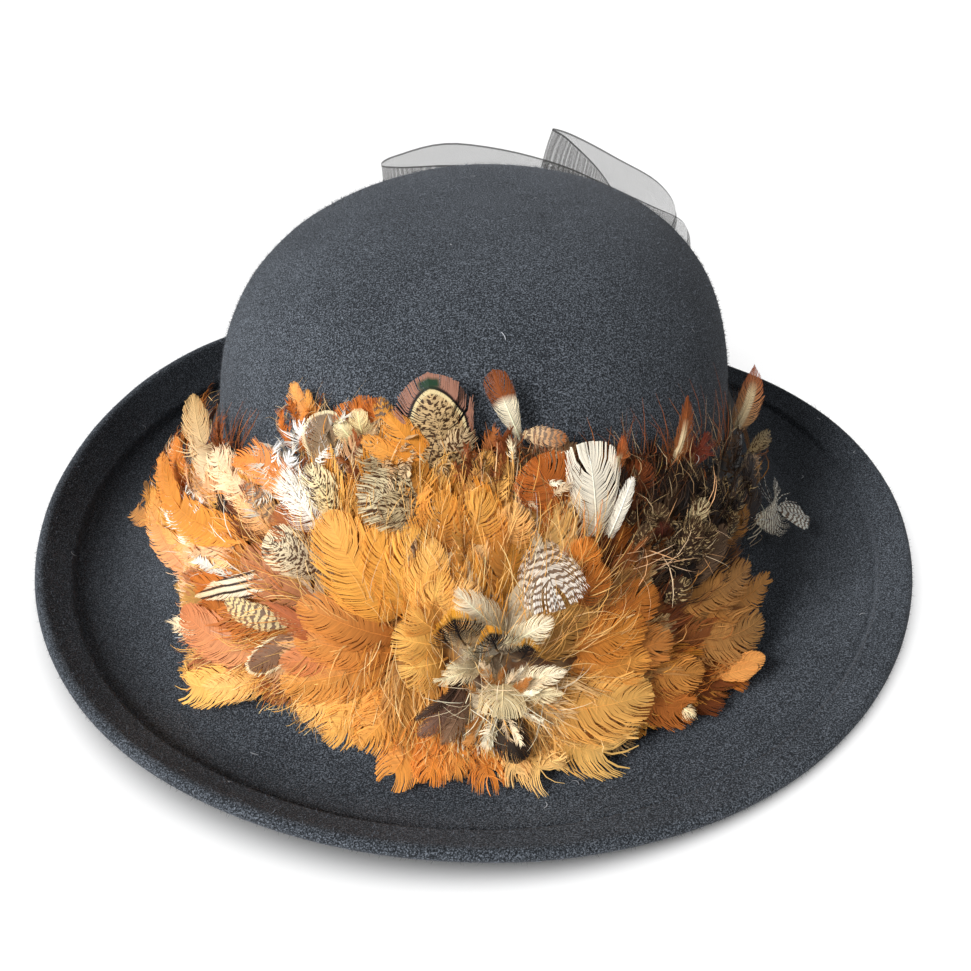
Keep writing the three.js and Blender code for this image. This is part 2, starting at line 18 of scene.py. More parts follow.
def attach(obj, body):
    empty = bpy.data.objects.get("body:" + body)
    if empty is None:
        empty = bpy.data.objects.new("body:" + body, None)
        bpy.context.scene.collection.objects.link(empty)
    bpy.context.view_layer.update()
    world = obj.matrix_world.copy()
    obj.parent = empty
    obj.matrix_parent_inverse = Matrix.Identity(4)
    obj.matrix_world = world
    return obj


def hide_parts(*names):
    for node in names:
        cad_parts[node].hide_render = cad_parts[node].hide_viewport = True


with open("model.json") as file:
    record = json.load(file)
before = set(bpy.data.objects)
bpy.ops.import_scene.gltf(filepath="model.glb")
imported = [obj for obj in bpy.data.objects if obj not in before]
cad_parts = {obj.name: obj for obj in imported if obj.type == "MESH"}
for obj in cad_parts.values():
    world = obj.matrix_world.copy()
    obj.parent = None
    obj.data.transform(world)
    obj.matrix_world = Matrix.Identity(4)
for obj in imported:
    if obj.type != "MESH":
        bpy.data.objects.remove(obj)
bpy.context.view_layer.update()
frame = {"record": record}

Tree, Node = bpy.types.NodeTree, bpy.types.Node
Material, Piece = bpy.types.Material, bpy.types.Object

# Metres in a millimetre, the least length to divide by, and the palest tint that a feather may have
MM = 0.001
TINY = 1e-9
BRIGHTEST = 0.95
# Numbers of the colour sockets of a mix node
MIX_UNDER, MIX_OVER, MIX_OUT = 6, 7, 2
FACE_LIMIT = 200_000
log = logging.getLogger("hat")


def linear(colour: str) -> tuple[float, float, float, float]:
    """Turns an sRGB hex colour into linear light.

    Args:
        colour: Six hex digits, red first.

    Returns:
        Red, green, blue and full alpha, from 0 to 1.
    """
    knee, slope, shift, power = 0.04045, 12.92, 0.055, 2.4
    parts = [int(colour[i:i + 2], 16) / 255 for i in (0, 2, 4)]
    levels = [c / slope if c <= knee else ((c + shift) / (1 + shift)) ** power for c in parts]
    return (*levels, 1.0)


def colours(*names: str) -> np.ndarray:
    """Linear colours of several hex names, one a row."""
    return np.array([linear(name)[:3] for name in names])


def ease(t: np.ndarray) -> np.ndarray:
    """A value that eases from 0 to 1 as t goes from 0 to 1."""
    return (1 - np.cos(np.pi * np.clip(t, 0, 1))) / 2


def unit(vectors: np.ndarray) -> np.ndarray:
    """Vectors of the last axis made one long."""
    return vectors / np.maximum(np.linalg.norm(vectors, axis=-1, keepdims=True), TINY)


@dataclass(frozen=True)
class HatForm:
    """The hat's driving sizes and the surfaces that follow from them, as its solids have them."""

    felt: float = 2.6
    crown_x: float = 0.5
    crown_y: float = 8.5
    crown_half_width: float = 87
    crown_half_depth: float = 97.5
    base_z: float = 18
    crown_height: float = 100.8
    wall_top: float = 22
    roundness: float = 2.72
    lean: float = 5.8
    lean_start: float = 20
    lean_power: float = 2.2
    brim_half_width: float = 149.4
    brim_half_depth: float = 155.2
    root_fillet: float = 5
    rest_from: float = 0.56
    rest_width: float = 5
    curl: float = 1.8
    rim_right: float = 6.5
    rim_left: float = 20.2
    rim_front: float = 6.8
    rim_back: float = 10.7
    rim_twist: float = -2.5
    wave_across: float = 2.4
    wave_along: float = 2.3
    welt_width: float = 9
    welt_raise: float = 1.5
    band_top: float = 27
    pad_past: float = 80

    def rim_height(self, a: np.ndarray) -> np.ndarray:
        """Height of the brim's edge at angles in radians.

        Args:
            a: Angles in radians.

        Returns:
            Heights over the table in millimetres.
        """
        mean = (self.rim_right + self.rim_left + self.rim_front + self.rim_back) / 4
        sides = (self.rim_right + self.rim_left - self.rim_front - self.rim_back) / 4
        across = (self.rim_right - self.rim_left) / 2 * np.cos(a)
        along = (self.rim_back - self.rim_front) / 2 * np.sin(a)
        waves = self.wave_across * np.cos(3 * a) + self.wave_along * np.sin(3 * a)
        return mean + across + along + sides * np.cos(2 * a) + self.rim_twist * np.sin(2 * a) + waves

    def crown_share(self, height: np.ndarray, inset: float = 0) -> np.ndarray:
        """Share of the crown's full size at heights over its base."""
        top = self.crown_height - inset
        k = np.clip((height - self.wall_top) / (top - self.wall_top), 0, 1)
        return (1 - k ** self.roundness) ** (1 / self.roundness)

    def crown_lean(self, height: np.ndarray) -> np.ndarray:
        """Sideways lean of the crown at heights over its base."""
        s = np.maximum(0, (height - self.lean_start) / (self.crown_height - self.lean_start))
        return self.lean * s ** self.lean_power

    def crown_point(self, a: np.ndarray, height: np.ndarray, inset: float = 0) -> np.ndarray:
        """Points on the crown's outside, or on its inside when it is inset."""
        share = self.crown_share(height, inset)
        x = self.crown_x + (self.crown_half_width - inset) * share * np.cos(a) + self.crown_lean(height)
        y = self.crown_y + (self.crown_half_depth - inset) * share * np.sin(a)
        return np.stack(np.broadcast_arrays(x, y, self.base_z + height), axis=-1)

    def spoke(self, a: np.ndarray) -> tuple[np.ndarray, np.ndarray, np.ndarray]:
        """The crown's foot, the level way out to the brim's edge and the brim's width.

        Args:
            a: Angles in radians.

        Returns:
            Foot points, unit ways out and widths.
        """
        flat = np.zeros_like(a)
        foot = np.stack([self.crown_x + self.crown_half_width * np.cos(a),
                         self.crown_y + self.crown_half_depth * np.sin(a), flat], axis=-1)
        edge = np.stack([self.brim_half_width * np.cos(a), self.brim_half_depth * np.sin(a), flat], axis=-1)
        width = np.linalg.norm(edge - foot, axis=-1)
        return foot, (edge - foot) / width[..., None], width

    def brim_height(self, a: np.ndarray, out: np.ndarray) -> np.ndarray:
        """Height over the table of the brim's upper face, a distance out from the crown's foot.

        Args:
            a: Angles in radians.
            out: Distances out from the crown's foot.

        Returns:
            Heights in millimetres.
        """
        width = self.spoke(a)[2]
        rest_start = self.rest_from * width
        rest_end = rest_start + self.rest_width
        slope = ease((out - self.root_fillet) / (rest_start - self.root_fillet))
        curl = np.clip((out - rest_end) / (width - rest_end), 0, 1) ** self.curl
        return self.base_z + (self.felt - self.base_z) * slope + (self.rim_height(a) - self.felt) * curl

    def place(self, a: np.ndarray, out: np.ndarray, height: np.ndarray) -> np.ndarray:
        """Points a distance out from the crown's wall, at heights over the crown's base."""
        p = self.crown_point(a, np.maximum(height, 0)) + self.spoke(a)[1] * np.asarray(out)[..., None]
        p[..., 2] = self.base_z + height
        return p


@dataclass(frozen=True)
class PadRow:
    """Where the pad's top edge and its hem lie at an angle in degrees."""

    angle: float
    top: float
    reach: float


PAD_ROWS = (
    PadRow(-205, 22, 13), PadRow(-190, 30, 26), PadRow(-175, 32, 36), PadRow(-160, 34, 34),
    PadRow(-148, 42, 31), PadRow(-138, 56, 36), PadRow(-128, 68, 37), PadRow(-110, 71, 37),
    PadRow(-95, 69, 40), PadRow(-80, 64, 38), PadRow(-68, 59, 33), PadRow(-50, 52, 30),
    PadRow(-38, 45, 25), PadRow(-25, 38, 19), PadRow(-12, 30, 15), PadRow(-2, 22, 12),
)


@dataclass(frozen=True)
class PadForm:
    """The face of the feather pad: row 0 is its top edge, row 1 its hem, and it runs on past both."""

    hat: HatForm
    top_proud: float = 3
    low_top_proud: float = 7.6
    proud_fade: float = 8
    hem_rise: float = 3.9
    shoulder_reach: float = 0.26
    shoulder_rise: float = 0.7
    foot_reach: float = 0.76
    foot_rise: float = 0.12
    probe_angle: float = 1
    probe_row: float = 0.02
    span_steps: int = 9

    def outline(self, degrees: np.ndarray) -> tuple[np.ndarray, np.ndarray]:
        """Top and reach of the pad at angles in degrees."""
        angles = [row.angle for row in PAD_ROWS]
        top = np.interp(degrees, angles, [row.top for row in PAD_ROWS])
        return top, np.interp(degrees, angles, [row.reach for row in PAD_ROWS])

    def face(self, degrees: np.ndarray, row: np.ndarray) -> np.ndarray:
        """Points of the pad's face.

        Args:
            degrees: Angles round the hat.
            row: Places from the top edge, 0, to the hem, 1.

        Returns:
            One point for each pair.
        """
        degrees, row = np.broadcast_arrays(np.asarray(degrees, float), np.asarray(row, float))
        a = np.radians(degrees)
        top, reach = self.outline(degrees)
        fade = np.clip((top - self.hat.band_top) / self.proud_fade, 0, 1)
        proud = self.low_top_proud + (self.top_proud - self.low_top_proud) * fade
        past_hem = np.maximum(row - 1, 0) * self.hat.pad_past
        hem_out = reach + past_hem
        hem_height = self.hat.brim_height(a, hem_out) - self.hat.base_z + self.hem_rise
        t = np.clip(row, 0, 1)
        weights = [(1 - t) ** 3, 3 * t * (1 - t) ** 2, 3 * t ** 2 * (1 - t), t ** 3]
        outs = [proud, proud + self.shoulder_reach * reach, self.foot_reach * reach, hem_out]
        heights = [top, self.shoulder_rise * top, self.foot_rise * top, hem_height]
        out = sum(w * o for w, o in zip(weights, outs))
        height = sum(w * h for w, h in zip(weights, heights))
        height = height + np.maximum(-row, 0) * self.hat.pad_past
        return self.hat.place(a, out, height)

    def frame(self, degrees: np.ndarray, row: np.ndarray) -> tuple[np.ndarray, np.ndarray]:
        """Points of the pad's face and the ways out of it there."""
        step, probe = self.probe_row, self.probe_angle
        around = self.face(degrees + probe, row) - self.face(degrees - probe, row)
        down = self.face(degrees, row + step) - self.face(degrees, row - step)
        return self.face(degrees, row), unit(np.cross(down, around))

    def spans(self, degrees: np.ndarray) -> tuple[np.ndarray, np.ndarray]:
        """Length of the face from top to hem, and its distance from the hat's middle.

        Args:
            degrees: Angles round the hat.

        Returns:
            Lengths and distances in millimetres.
        """
        rows = np.linspace(0, 1, self.span_steps)
        points = self.face(np.asarray(degrees)[..., None], rows)
        tall = np.linalg.norm(np.diff(points, axis=-2), axis=-1).sum(axis=-1)
        middle = points[..., self.span_steps // 2, :]
        radius = np.hypot(middle[..., 0] - self.hat.crown_x, middle[..., 1] - self.hat.crown_y)
        return tall, radius


@dataclass(frozen=True)
class PhotoView:
    """The camera that took the photograph, and the enlarged piece of it that places were read from."""

    lens: float = 40.69
    sensor: float = 36
    distance: float = 400
    elevation: float = 33.8
    roll: float = -1.5
    target: tuple[float, float, float] = (3.8, 1.0, 14.2)
    picture_side: float = 971
    piece_corner: tuple[float, float] = (120, 360)
    enlarged: float = 3.647

    def axes(self) -> np.ndarray:
        """The camera's ways right, up and back, one a row."""
        e, r = math.radians(self.elevation), math.radians(self.roll)
        back = np.array([0, -math.cos(e), math.sin(e)])
        right = np.array([1.0, 0, 0])
        up = np.cross(back, right)
        turned = (math.cos(r) * right + math.sin(r) * up, math.cos(r) * up - math.sin(r) * right)
        return np.stack([*turned, back])

    def eye(self) -> np.ndarray:
        """Where the camera stands."""
        return np.array(self.target) + self.axes()[2] * self.distance

    def seen(self, points: np.ndarray) -> np.ndarray:
        """Places in the enlarged piece of the photograph at which points of the hat are seen."""
        right, up, back = np.moveaxis((points - self.eye()) @ self.axes().T, -1, 0)
        scale = self.lens / self.sensor * self.picture_side
        at = np.stack([self.picture_side / 2 - scale * right / back,
                       self.picture_side / 2 + scale * up / back], axis=-1)
        return (at - np.array(self.piece_corner)) * self.enlarged


class PlaceFinder:
    """Finds the place on the pad's face that is seen at a place in the enlarged photograph."""

    over_face = 3.5
    angles = (-186, -4, 0.5)
    rows = (-0.4, 1.12, 0.01)

    def __init__(self, pad: PadForm, view: PhotoView) -> None:
        degrees, rows = np.meshgrid(np.arange(*self.angles), np.arange(*self.rows), indexing="ij")
        point, out = pad.frame(degrees, rows)
        faces = ((view.eye() - point) * out).sum(axis=-1) > 0
        self.places = np.stack([degrees[faces], rows[faces]], axis=-1)
        self.seen = view.seen((point + out * self.over_face)[faces])

    def find(self, spots: Any) -> np.ndarray:
        """Angles in degrees and rows of the pad for spots of the enlarged photograph, one a row."""
        return np.array([self.places[((self.seen - spot) ** 2).sum(axis=-1).argmin()] for spot in spots])


class Soup:
    """Triangles gathered from many small parts, with numbers kept for each point."""

    def __init__(self) -> None:
        self.points: list[np.ndarray] = []
        self.faces: list[np.ndarray] = []
        self.layers: dict[str, list[np.ndarray]] = {}
        self.count = 0

    def add(self, points: np.ndarray, faces: np.ndarray, **layers: np.ndarray) -> None:
        """Takes in one part.

        Args:
            points: Points in millimetres, any shape that ends in 3.
            faces: Triangles that index those points.
            layers: Three numbers for each point, by name.
        """
        flat = points.reshape(-1, 3)
        self.points.append(flat)
        self.faces.append(np.asarray(faces).reshape(-1, 3) + self.count)
        for name, values in layers.items():
            full = np.broadcast_to(values, points.shape).reshape(-1, 3)
            self.layers.setdefault(name, []).append(full)
        self.count += len(flat)

    def piece(self, name: str, material: Material) -> Piece:
        """Makes one object of all that was added, with its colours and other layers.

        Args:
            name: The piece's name.
            material: What it is made of.

        Returns:
            The piece.
        """
        faces = np.concatenate(self.faces)
        made = mesh_object(name, np.concatenate(self.points), faces, material)
        for layer, parts in self.layers.items():
            values = np.concatenate(parts)
            kind, key = "FLOAT_VECTOR", "vector"
            if layer == "tint":
                kind, key = "FLOAT_COLOR", "color"
                values = np.concatenate([values, np.ones((len(values), 1))], axis=1)
            made.data.attributes.new(layer, kind, "POINT").data.foreach_set(key, values.ravel())
        return made


def mesh_object(name: str, points: np.ndarray, faces: np.ndarray, material: Material) -> Piece:
    """Makes a smooth mesh object from arrays.

    Args:
        name: The piece's name.
        points: Points in millimetres, one a row.
        faces: Faces of three or four points each, one a row.
        material: What the piece is made of.

    Returns:
        The object, linked to the scene.
    """
    corners = faces.shape[1]
    mesh = bpy.data.meshes.new(name)
    mesh.vertices.add(len(points))
    mesh.vertices.foreach_set("co", (points * MM).astype(np.float32).ravel())
    mesh.loops.add(faces.size)
    mesh.loops.foreach_set("vertex_index", faces.astype(np.int32).ravel())
    mesh.polygons.add(len(faces))
    mesh.polygons.foreach_set("loop_start", np.arange(0, faces.size, corners, dtype=np.int32))
    mesh.polygons.foreach_set("use_smooth", np.ones(len(faces), dtype=bool))
    mesh.update(calc_edges=True)
    mesh.validate()
    mesh.materials.append(material)
    made = bpy.data.objects.new(name, mesh)
    bpy.context.scene.collection.objects.link(made)
    return made


def ring_faces(rows: int, count: int, closed: bool = True) -> np.ndarray:
    """Two triangles for each quad between rows of points, each row closed into a ring or left open."""
    i, k = np.meshgrid(np.arange(rows - 1), np.arange(count if closed else count - 1), indexing="ij")
    n = (k + 1) % count
    quads = np.stack([i * count + k, i * count + n, (i + 1) * count + n, (i + 1) * count + k], axis=-1)
    return triangles_of(quads.reshape(-1, 4))


def triangles_of(quads: np.ndarray) -> np.ndarray:
    """Two triangles for each quad."""
    return np.concatenate([quads[:, [0, 1, 2]], quads[:, [0, 2, 3]]])


def fan(start: int, count: int, tip: int, forward: bool) -> np.ndarray:
    """Triangles that close a ring of points onto a tip.

    Args:
        start: Number of the ring's first point.
        count: Points in the ring.
        tip: Number of the tip.
        forward: Whether they run the ring's way round.

    Returns:
        One triangle for each point of the ring.
    """
    k = np.arange(count)
    pair = [start + k, start + (k + 1) % count]
    return np.stack([*(pair if forward else pair[::-1]), np.full(count, tip)], axis=-1)


def copies(faces: np.ndarray, count: int, points: int) -> np.ndarray:
    """The same triangles for each of many parts that have an equal number of points."""
    return (np.arange(count)[:, None, None] * points + faces[None]).reshape(-1, 3)


def run_of(line: np.ndarray) -> np.ndarray:
    """Distance gone along a line at each of its points."""
    return np.concatenate([[0], np.cumsum(np.linalg.norm(np.diff(line, axis=0), axis=1))])


def set_on_hat(piece: Piece, slot: str, *nodes: str) -> Piece:
    """Fixes a piece to the hat's one body and hides the solids that it replaces.

    Args:
        piece: The new piece.
        slot: The record's material slot for the piece; not used.
        nodes: The solids that it replaces.

    Returns:
        The same piece.
    """
    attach(piece, "root")
    if nodes:
        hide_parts(*nodes)
    log.info("%s: %d faces", piece.name, len(piece.data.polygons))
    if len(piece.data.polygons) > FACE_LIMIT:
        log.warning("%s has too many faces", piece.name)
    return piece


# Finishes


def add_node(tree: Tree, kind: str, values: Optional[dict[Any, Any]] = None,
             links: Optional[dict[Any, Any]] = None, stops: Optional[list[tuple[float, str]]] = None,
             **settings: Any) -> Node:
    """Adds a node with its settings, its plain numbers and its links.

    Args:
        tree: The material's node tree.
        kind: The node's type name.
        values: Plain values by socket name or number.
        links: Output sockets by the input's name or number.
        stops: Places and hex colours, where the node is a colour ramp.
        settings: The node's own settings.

    Returns:
        The new node.
    """
    node = tree.nodes.new(kind)
    for key, value in settings.items():
        setattr(node, key, value)
    for key, value in (values or {}).items():
        node.inputs[key].default_value = value
    for key, output in (links or {}).items():
        tree.links.new(output, node.inputs[key])
    if stops:
        ramp = node.color_ramp
        while len(ramp.elements) < len(stops):
            ramp.elements.new(1)
        for element, (place, colour) in zip(ramp.elements, stops):
            element.position = place
            element.color = linear(colour)
    return node


def new_material(name: str) -> tuple[Material, Tree]:
    """An empty node material and its tree."""
    material = bpy.data.materials.new(name)
    material.use_nodes = True
    material.node_tree.nodes.clear()
    return material, material.node_tree


def millimetres(tree: Tree, stretch: tuple[float, float, float] = (1, 1, 1)) -> Any:
    """The place on the piece in millimetres, stretched for a pattern that runs one way."""
    place = add_node(tree, "ShaderNodeTexCoord")
    scale = tuple(s / MM for s in stretch)
    mapping = add_node(tree, "ShaderNodeMapping", {"Scale": scale}, {"Vector": place.outputs["Object"]})
    return mapping.outputs["Vector"]


def maths(tree: Tree, operation: str, first: Any, second: Any) -> Any:
    """The result of a sum on two values, each an output socket or a plain number."""
    pair = {0: first, 1: second}
    links = {i: value for i, value in pair.items() if isinstance(value, bpy.types.NodeSocket)}
    values = {i: value for i, value in pair.items() if i not in links}
    return add_node(tree, "ShaderNodeMath", values, links, operation=operation).outputs[0]


def noise(tree: Tree, place: Any, scale: float, detail: float, roughness: float = 0.5) -> Any:
    """Smooth random values from 0 to 1 by place.

    Args:
        tree: The material's node tree.
        place: Where on the piece, as a vector.
        scale: Values for each unit of the place.
        detail: How many finer layers lie over the first.
        roughness: How much the finer layers count.

    Returns:
        The values.
    """
    values = {"Scale": scale, "Detail": detail, "Roughness": roughness}
    return add_node(tree, "ShaderNodeTexNoise", values, {"Vector": place}).outputs["Fac"]


def between(tree: Tree, value: Any, low: float, high: float) -> Any:
    """A share that goes from 0 at low to 1 at high; turned round where low is the larger."""
    ends = {"From Min": low, "From Max": high}
    return add_node(tree, "ShaderNodeMapRange", ends, {"Value": value}).outputs[0]


def ramp(tree: Tree, share: Any, places: tuple[float, ...], shades: tuple[str, ...]) -> Any:
    """Hex colours that follow each other as a share rises.

    Args:
        tree: The material's node tree.
        share: The value that picks the colour.
        places: Values at which the colours stand.
        shades: The colours.

    Returns:
        The picked colour.
    """
    stops = list(zip(places, shades))
    return add_node(tree, "ShaderNodeValToRGB", links={"Fac": share}, stops=stops).outputs["Color"]


def relief(tree: Tree, height: Any, strength: float, depth: float) -> Any:
    """Fine relief, its depth in millimetres.

    Args:
        tree: The material's node tree.
        height: The relief, from 0 to 1.
        strength: How much of it shows.
        depth: Its full depth.

    Returns:
        The bent normal.
    """
    values = {"Strength": strength, "Distance": depth * MM}
    return add_node(tree, "ShaderNodeBump", values, {"Height": height}).outputs["Normal"]


def own_tint(tree: Tree, value: Any, spread: tuple[float, float], gain: tuple[float, float]) -> Any:
    """The tint of each point, made darker and lighter by a value.

    Args:
        tree: The material's node tree.
        value: The value that changes the tint.
        spread: The values between which the change runs.
        gain: How much of the tint is left at both.

    Returns:
        The changed tint.
    """
    tint = add_node(tree, "ShaderNodeAttribute", attribute_name="tint")
    ends = {"From Min": spread[0], "From Max": spread[1], "To Min": gain[0], "To Max": gain[1]}
    span = add_node(tree, "ShaderNodeMapRange", ends, {"Value": value})
    links = {0: tint.outputs["Color"], 1: span.outputs[0]}
    return add_node(tree, "ShaderNodeVectorMath", links=links, operation="MULTIPLY").outputs["Vector"]


def split(tree: Tree, layer: str) -> Node:
    """The three numbers that a piece keeps for each point under a name."""
    kept = add_node(tree, "ShaderNodeAttribute", attribute_name=layer)
    return add_node(tree, "ShaderNodeSeparateXYZ", links={0: kept.outputs["Vector"]})


def show(tree: Tree, surface: Node) -> None:
    """Makes a shader the material's surface."""
    add_node(tree, "ShaderNodeOutputMaterial", links={"Surface": surface.outputs[0]})


@dataclass(frozen=True)
class WoolFelt:
    """Blocked wool felt: a dull charcoal ground with a short blue-grey nap that catches light in specks."""

    name: str = "charcoal wool felt"
    shades: tuple[str, ...] = ("0f1114", "25292e", "676d75")
    shade_places: tuple[float, ...] = (0.4, 0.54, 0.71)
    speck_size: float = 0.42
    speck_detail: float = 3
    speck_roughness: float = 0.62
    cloud_size: float = 34
    cloud_detail: float = 4
    cloud_roughness: float = 0.6
    cloud_share: float = 0.1
    nap_depth: float = 0.28
    nap_strength: float = 0.8
    roughness: float = 0.95
    sheen: float = 0.14
    sheen_roughness: float = 0.5
    sheen_tint: str = "a4a8b0"
    specular: float = 0.2

    def build(self) -> Material:
        """The felt's material, with its specks and its slow changes of shade."""
        material, tree = new_material(self.name)
        place = millimetres(tree)
        specks = noise(tree, place, 1 / self.speck_size, self.speck_detail, self.speck_roughness)
        clouds = noise(tree, place, 1 / self.cloud_size, self.cloud_detail, self.cloud_roughness)
        both = maths(tree, "ADD", specks, maths(tree, "MULTIPLY", clouds, self.cloud_share))
        skin = add_node(tree, "ShaderNodeBsdfPrincipled",
                        {"Roughness": self.roughness, "Sheen Weight": self.sheen,
                         "Sheen Roughness": self.sheen_roughness, "Sheen Tint": linear(self.sheen_tint),
                         "Specular IOR Level": self.specular},
                        {"Base Color": ramp(tree, both, self.shade_places, self.shades),
                         "Normal": relief(tree, specks, self.nap_strength, self.nap_depth)})
        show(tree, skin)
        return material


@dataclass(frozen=True)
class TintedFibre:
    """Loose fibres, thread and quills that take their colour point by point, dull with a faint shine."""

    name: str
    roughness: float = 0.7
    sheen: float = 0.1
    grain_size: float = 0.5
    grain_detail: float = 2
    grain_gain: tuple[float, float] = (0.78, 1.22)

    def build(self) -> Material:
        """A material that shows the tint of each point."""
        material, tree = new_material(self.name)
        grain = noise(tree, millimetres(tree), 1 / self.grain_size, self.grain_detail)
        skin = add_node(tree, "ShaderNodeBsdfPrincipled",
                        {"Roughness": self.roughness, "Sheen Weight": self.sheen},
                        {"Base Color": own_tint(tree, grain, (0, 1), self.grain_gain)})
        show(tree, skin)
        return material


@dataclass(frozen=True)
class CrinBraid:
    """Horsehair braid: glossy black hairs in an open slanting net, so that white shows grey through it."""

    name: str = "black crin braid"
    shades: tuple[str, ...] = ("0c0c0e", "2c2a28")
    shade_places: tuple[float, ...] = (0.2, 0.9)
    pitch: float = 0.3
    hair_share: float = 0.27
    softness: float = 0.4
    selvage: float = 0.8
    selvage_cover: float = 0.75
    open_weave: bool = True
    hair_depth: float = 0.25
    hair_strength: float = 0.7
    roughness: float = 0.42
    sheen: float = 0.1
    specular: float = 0.5

    def build(self) -> Material:
        """The net's material; a crushed braid is the same hairs with nothing showing through."""
        material, tree = new_material(self.name)
        parts = split(tree, "weave")
        net = maths(tree, "MAXIMUM", self.thread(tree, parts, 1), self.thread(tree, parts, -1))
        skin = add_node(tree, "ShaderNodeBsdfPrincipled",
                        {"Roughness": self.roughness, "Sheen Weight": self.sheen,
                         "Specular IOR Level": self.specular},
                        {"Base Color": ramp(tree, net, self.shade_places, self.shades),
                         "Normal": relief(tree, net, self.hair_strength, self.hair_depth)})
        if self.open_weave:
            edge = maths(tree, "LESS_THAN", parts.outputs["Z"], self.selvage)
            filled = maths(tree, "MULTIPLY", edge, self.selvage_cover)
            tree.links.new(maths(tree, "MAXIMUM", net, filled), skin.inputs["Alpha"])
        show(tree, skin)
        return material

    def thread(self, tree: Tree, parts: Node, slant: int) -> Any:
        """One set of slanting hairs: 1 on a hair and 0 between two, softened at its sides.

        Args:
            tree: The material's node tree.
            parts: The place on the braid, in millimetres.
            slant: 1 for one set of hairs and -1 for the other.

        Returns:
            The share.
        """
        run = maths(tree, "ADD", parts.outputs["X"], maths(tree, "MULTIPLY", parts.outputs["Y"], slant))
        wave = maths(tree, "PINGPONG", maths(tree, "MULTIPLY", run, 1 / self.pitch), 1)
        clear, full = self.hair_share * (1 + self.softness), self.hair_share * (1 - self.softness)
        return between(tree, wave, clear, full)


class Marking(Enum):
    """How a feather's vane is marked."""

    PLAIN = "plain"
    SPECKLED = "speckled"
    BARRED = "barred"
    STRIPED = "striped"
    WINDOW = "window"
    DARK_TIP = "dark_tip"
    COLLARED = "collared"
    FLECKED = "flecked"
    EDGED = "edged"
    SHAFTED = "shafted"


@dataclass(frozen=True)
class MarkSizes:
    """Where the markings fade in over the vane, from a first share to a second, and how large they are."""

    spot_stretch: tuple[float, float] = (1.5, 0.8)
    spot_fade: float = 0.06
    spot_detail: float = 2
    bar_wobble: float = 1.6
    wobble_size: float = 2
    bar: tuple[float, float] = (0.5, 0.66)
    stripe_count: float = 3.4
    stripe: tuple[float, float] = (0.55, 0.75)
    dark_tip: tuple[float, float] = (0.56, 0.66)
    collar_foot: tuple[float, float] = (0.26, 0.36)
    collar_end: tuple[float, float] = (0.84, 0.78)
    shaft_side: tuple[float, float] = (0.16, 0.06)
    shaft_end: tuple[float, float] = (0.78, 0.6)
    rim_start: float = 0.55
    edge: tuple[float, float] = (0.84, 0.9)
    arch: tuple[float, float] = (0.62, 0.65)
    arch_colour: str = "d8c494"
    line: tuple[float, float] = (0.7, 0.72)
    line_colour: str = "20140e"
    border: tuple[float, float] = (0.76, 0.8)
    border_colour: str = "9c6f5c"
    green_side: tuple[float, float] = (0.12, 0.05)
    green_start: tuple[float, float] = (0.86, 0.9)
    green_end: tuple[float, float] = (0.97, 0.94)
    green_colour: str = "1f3a26"


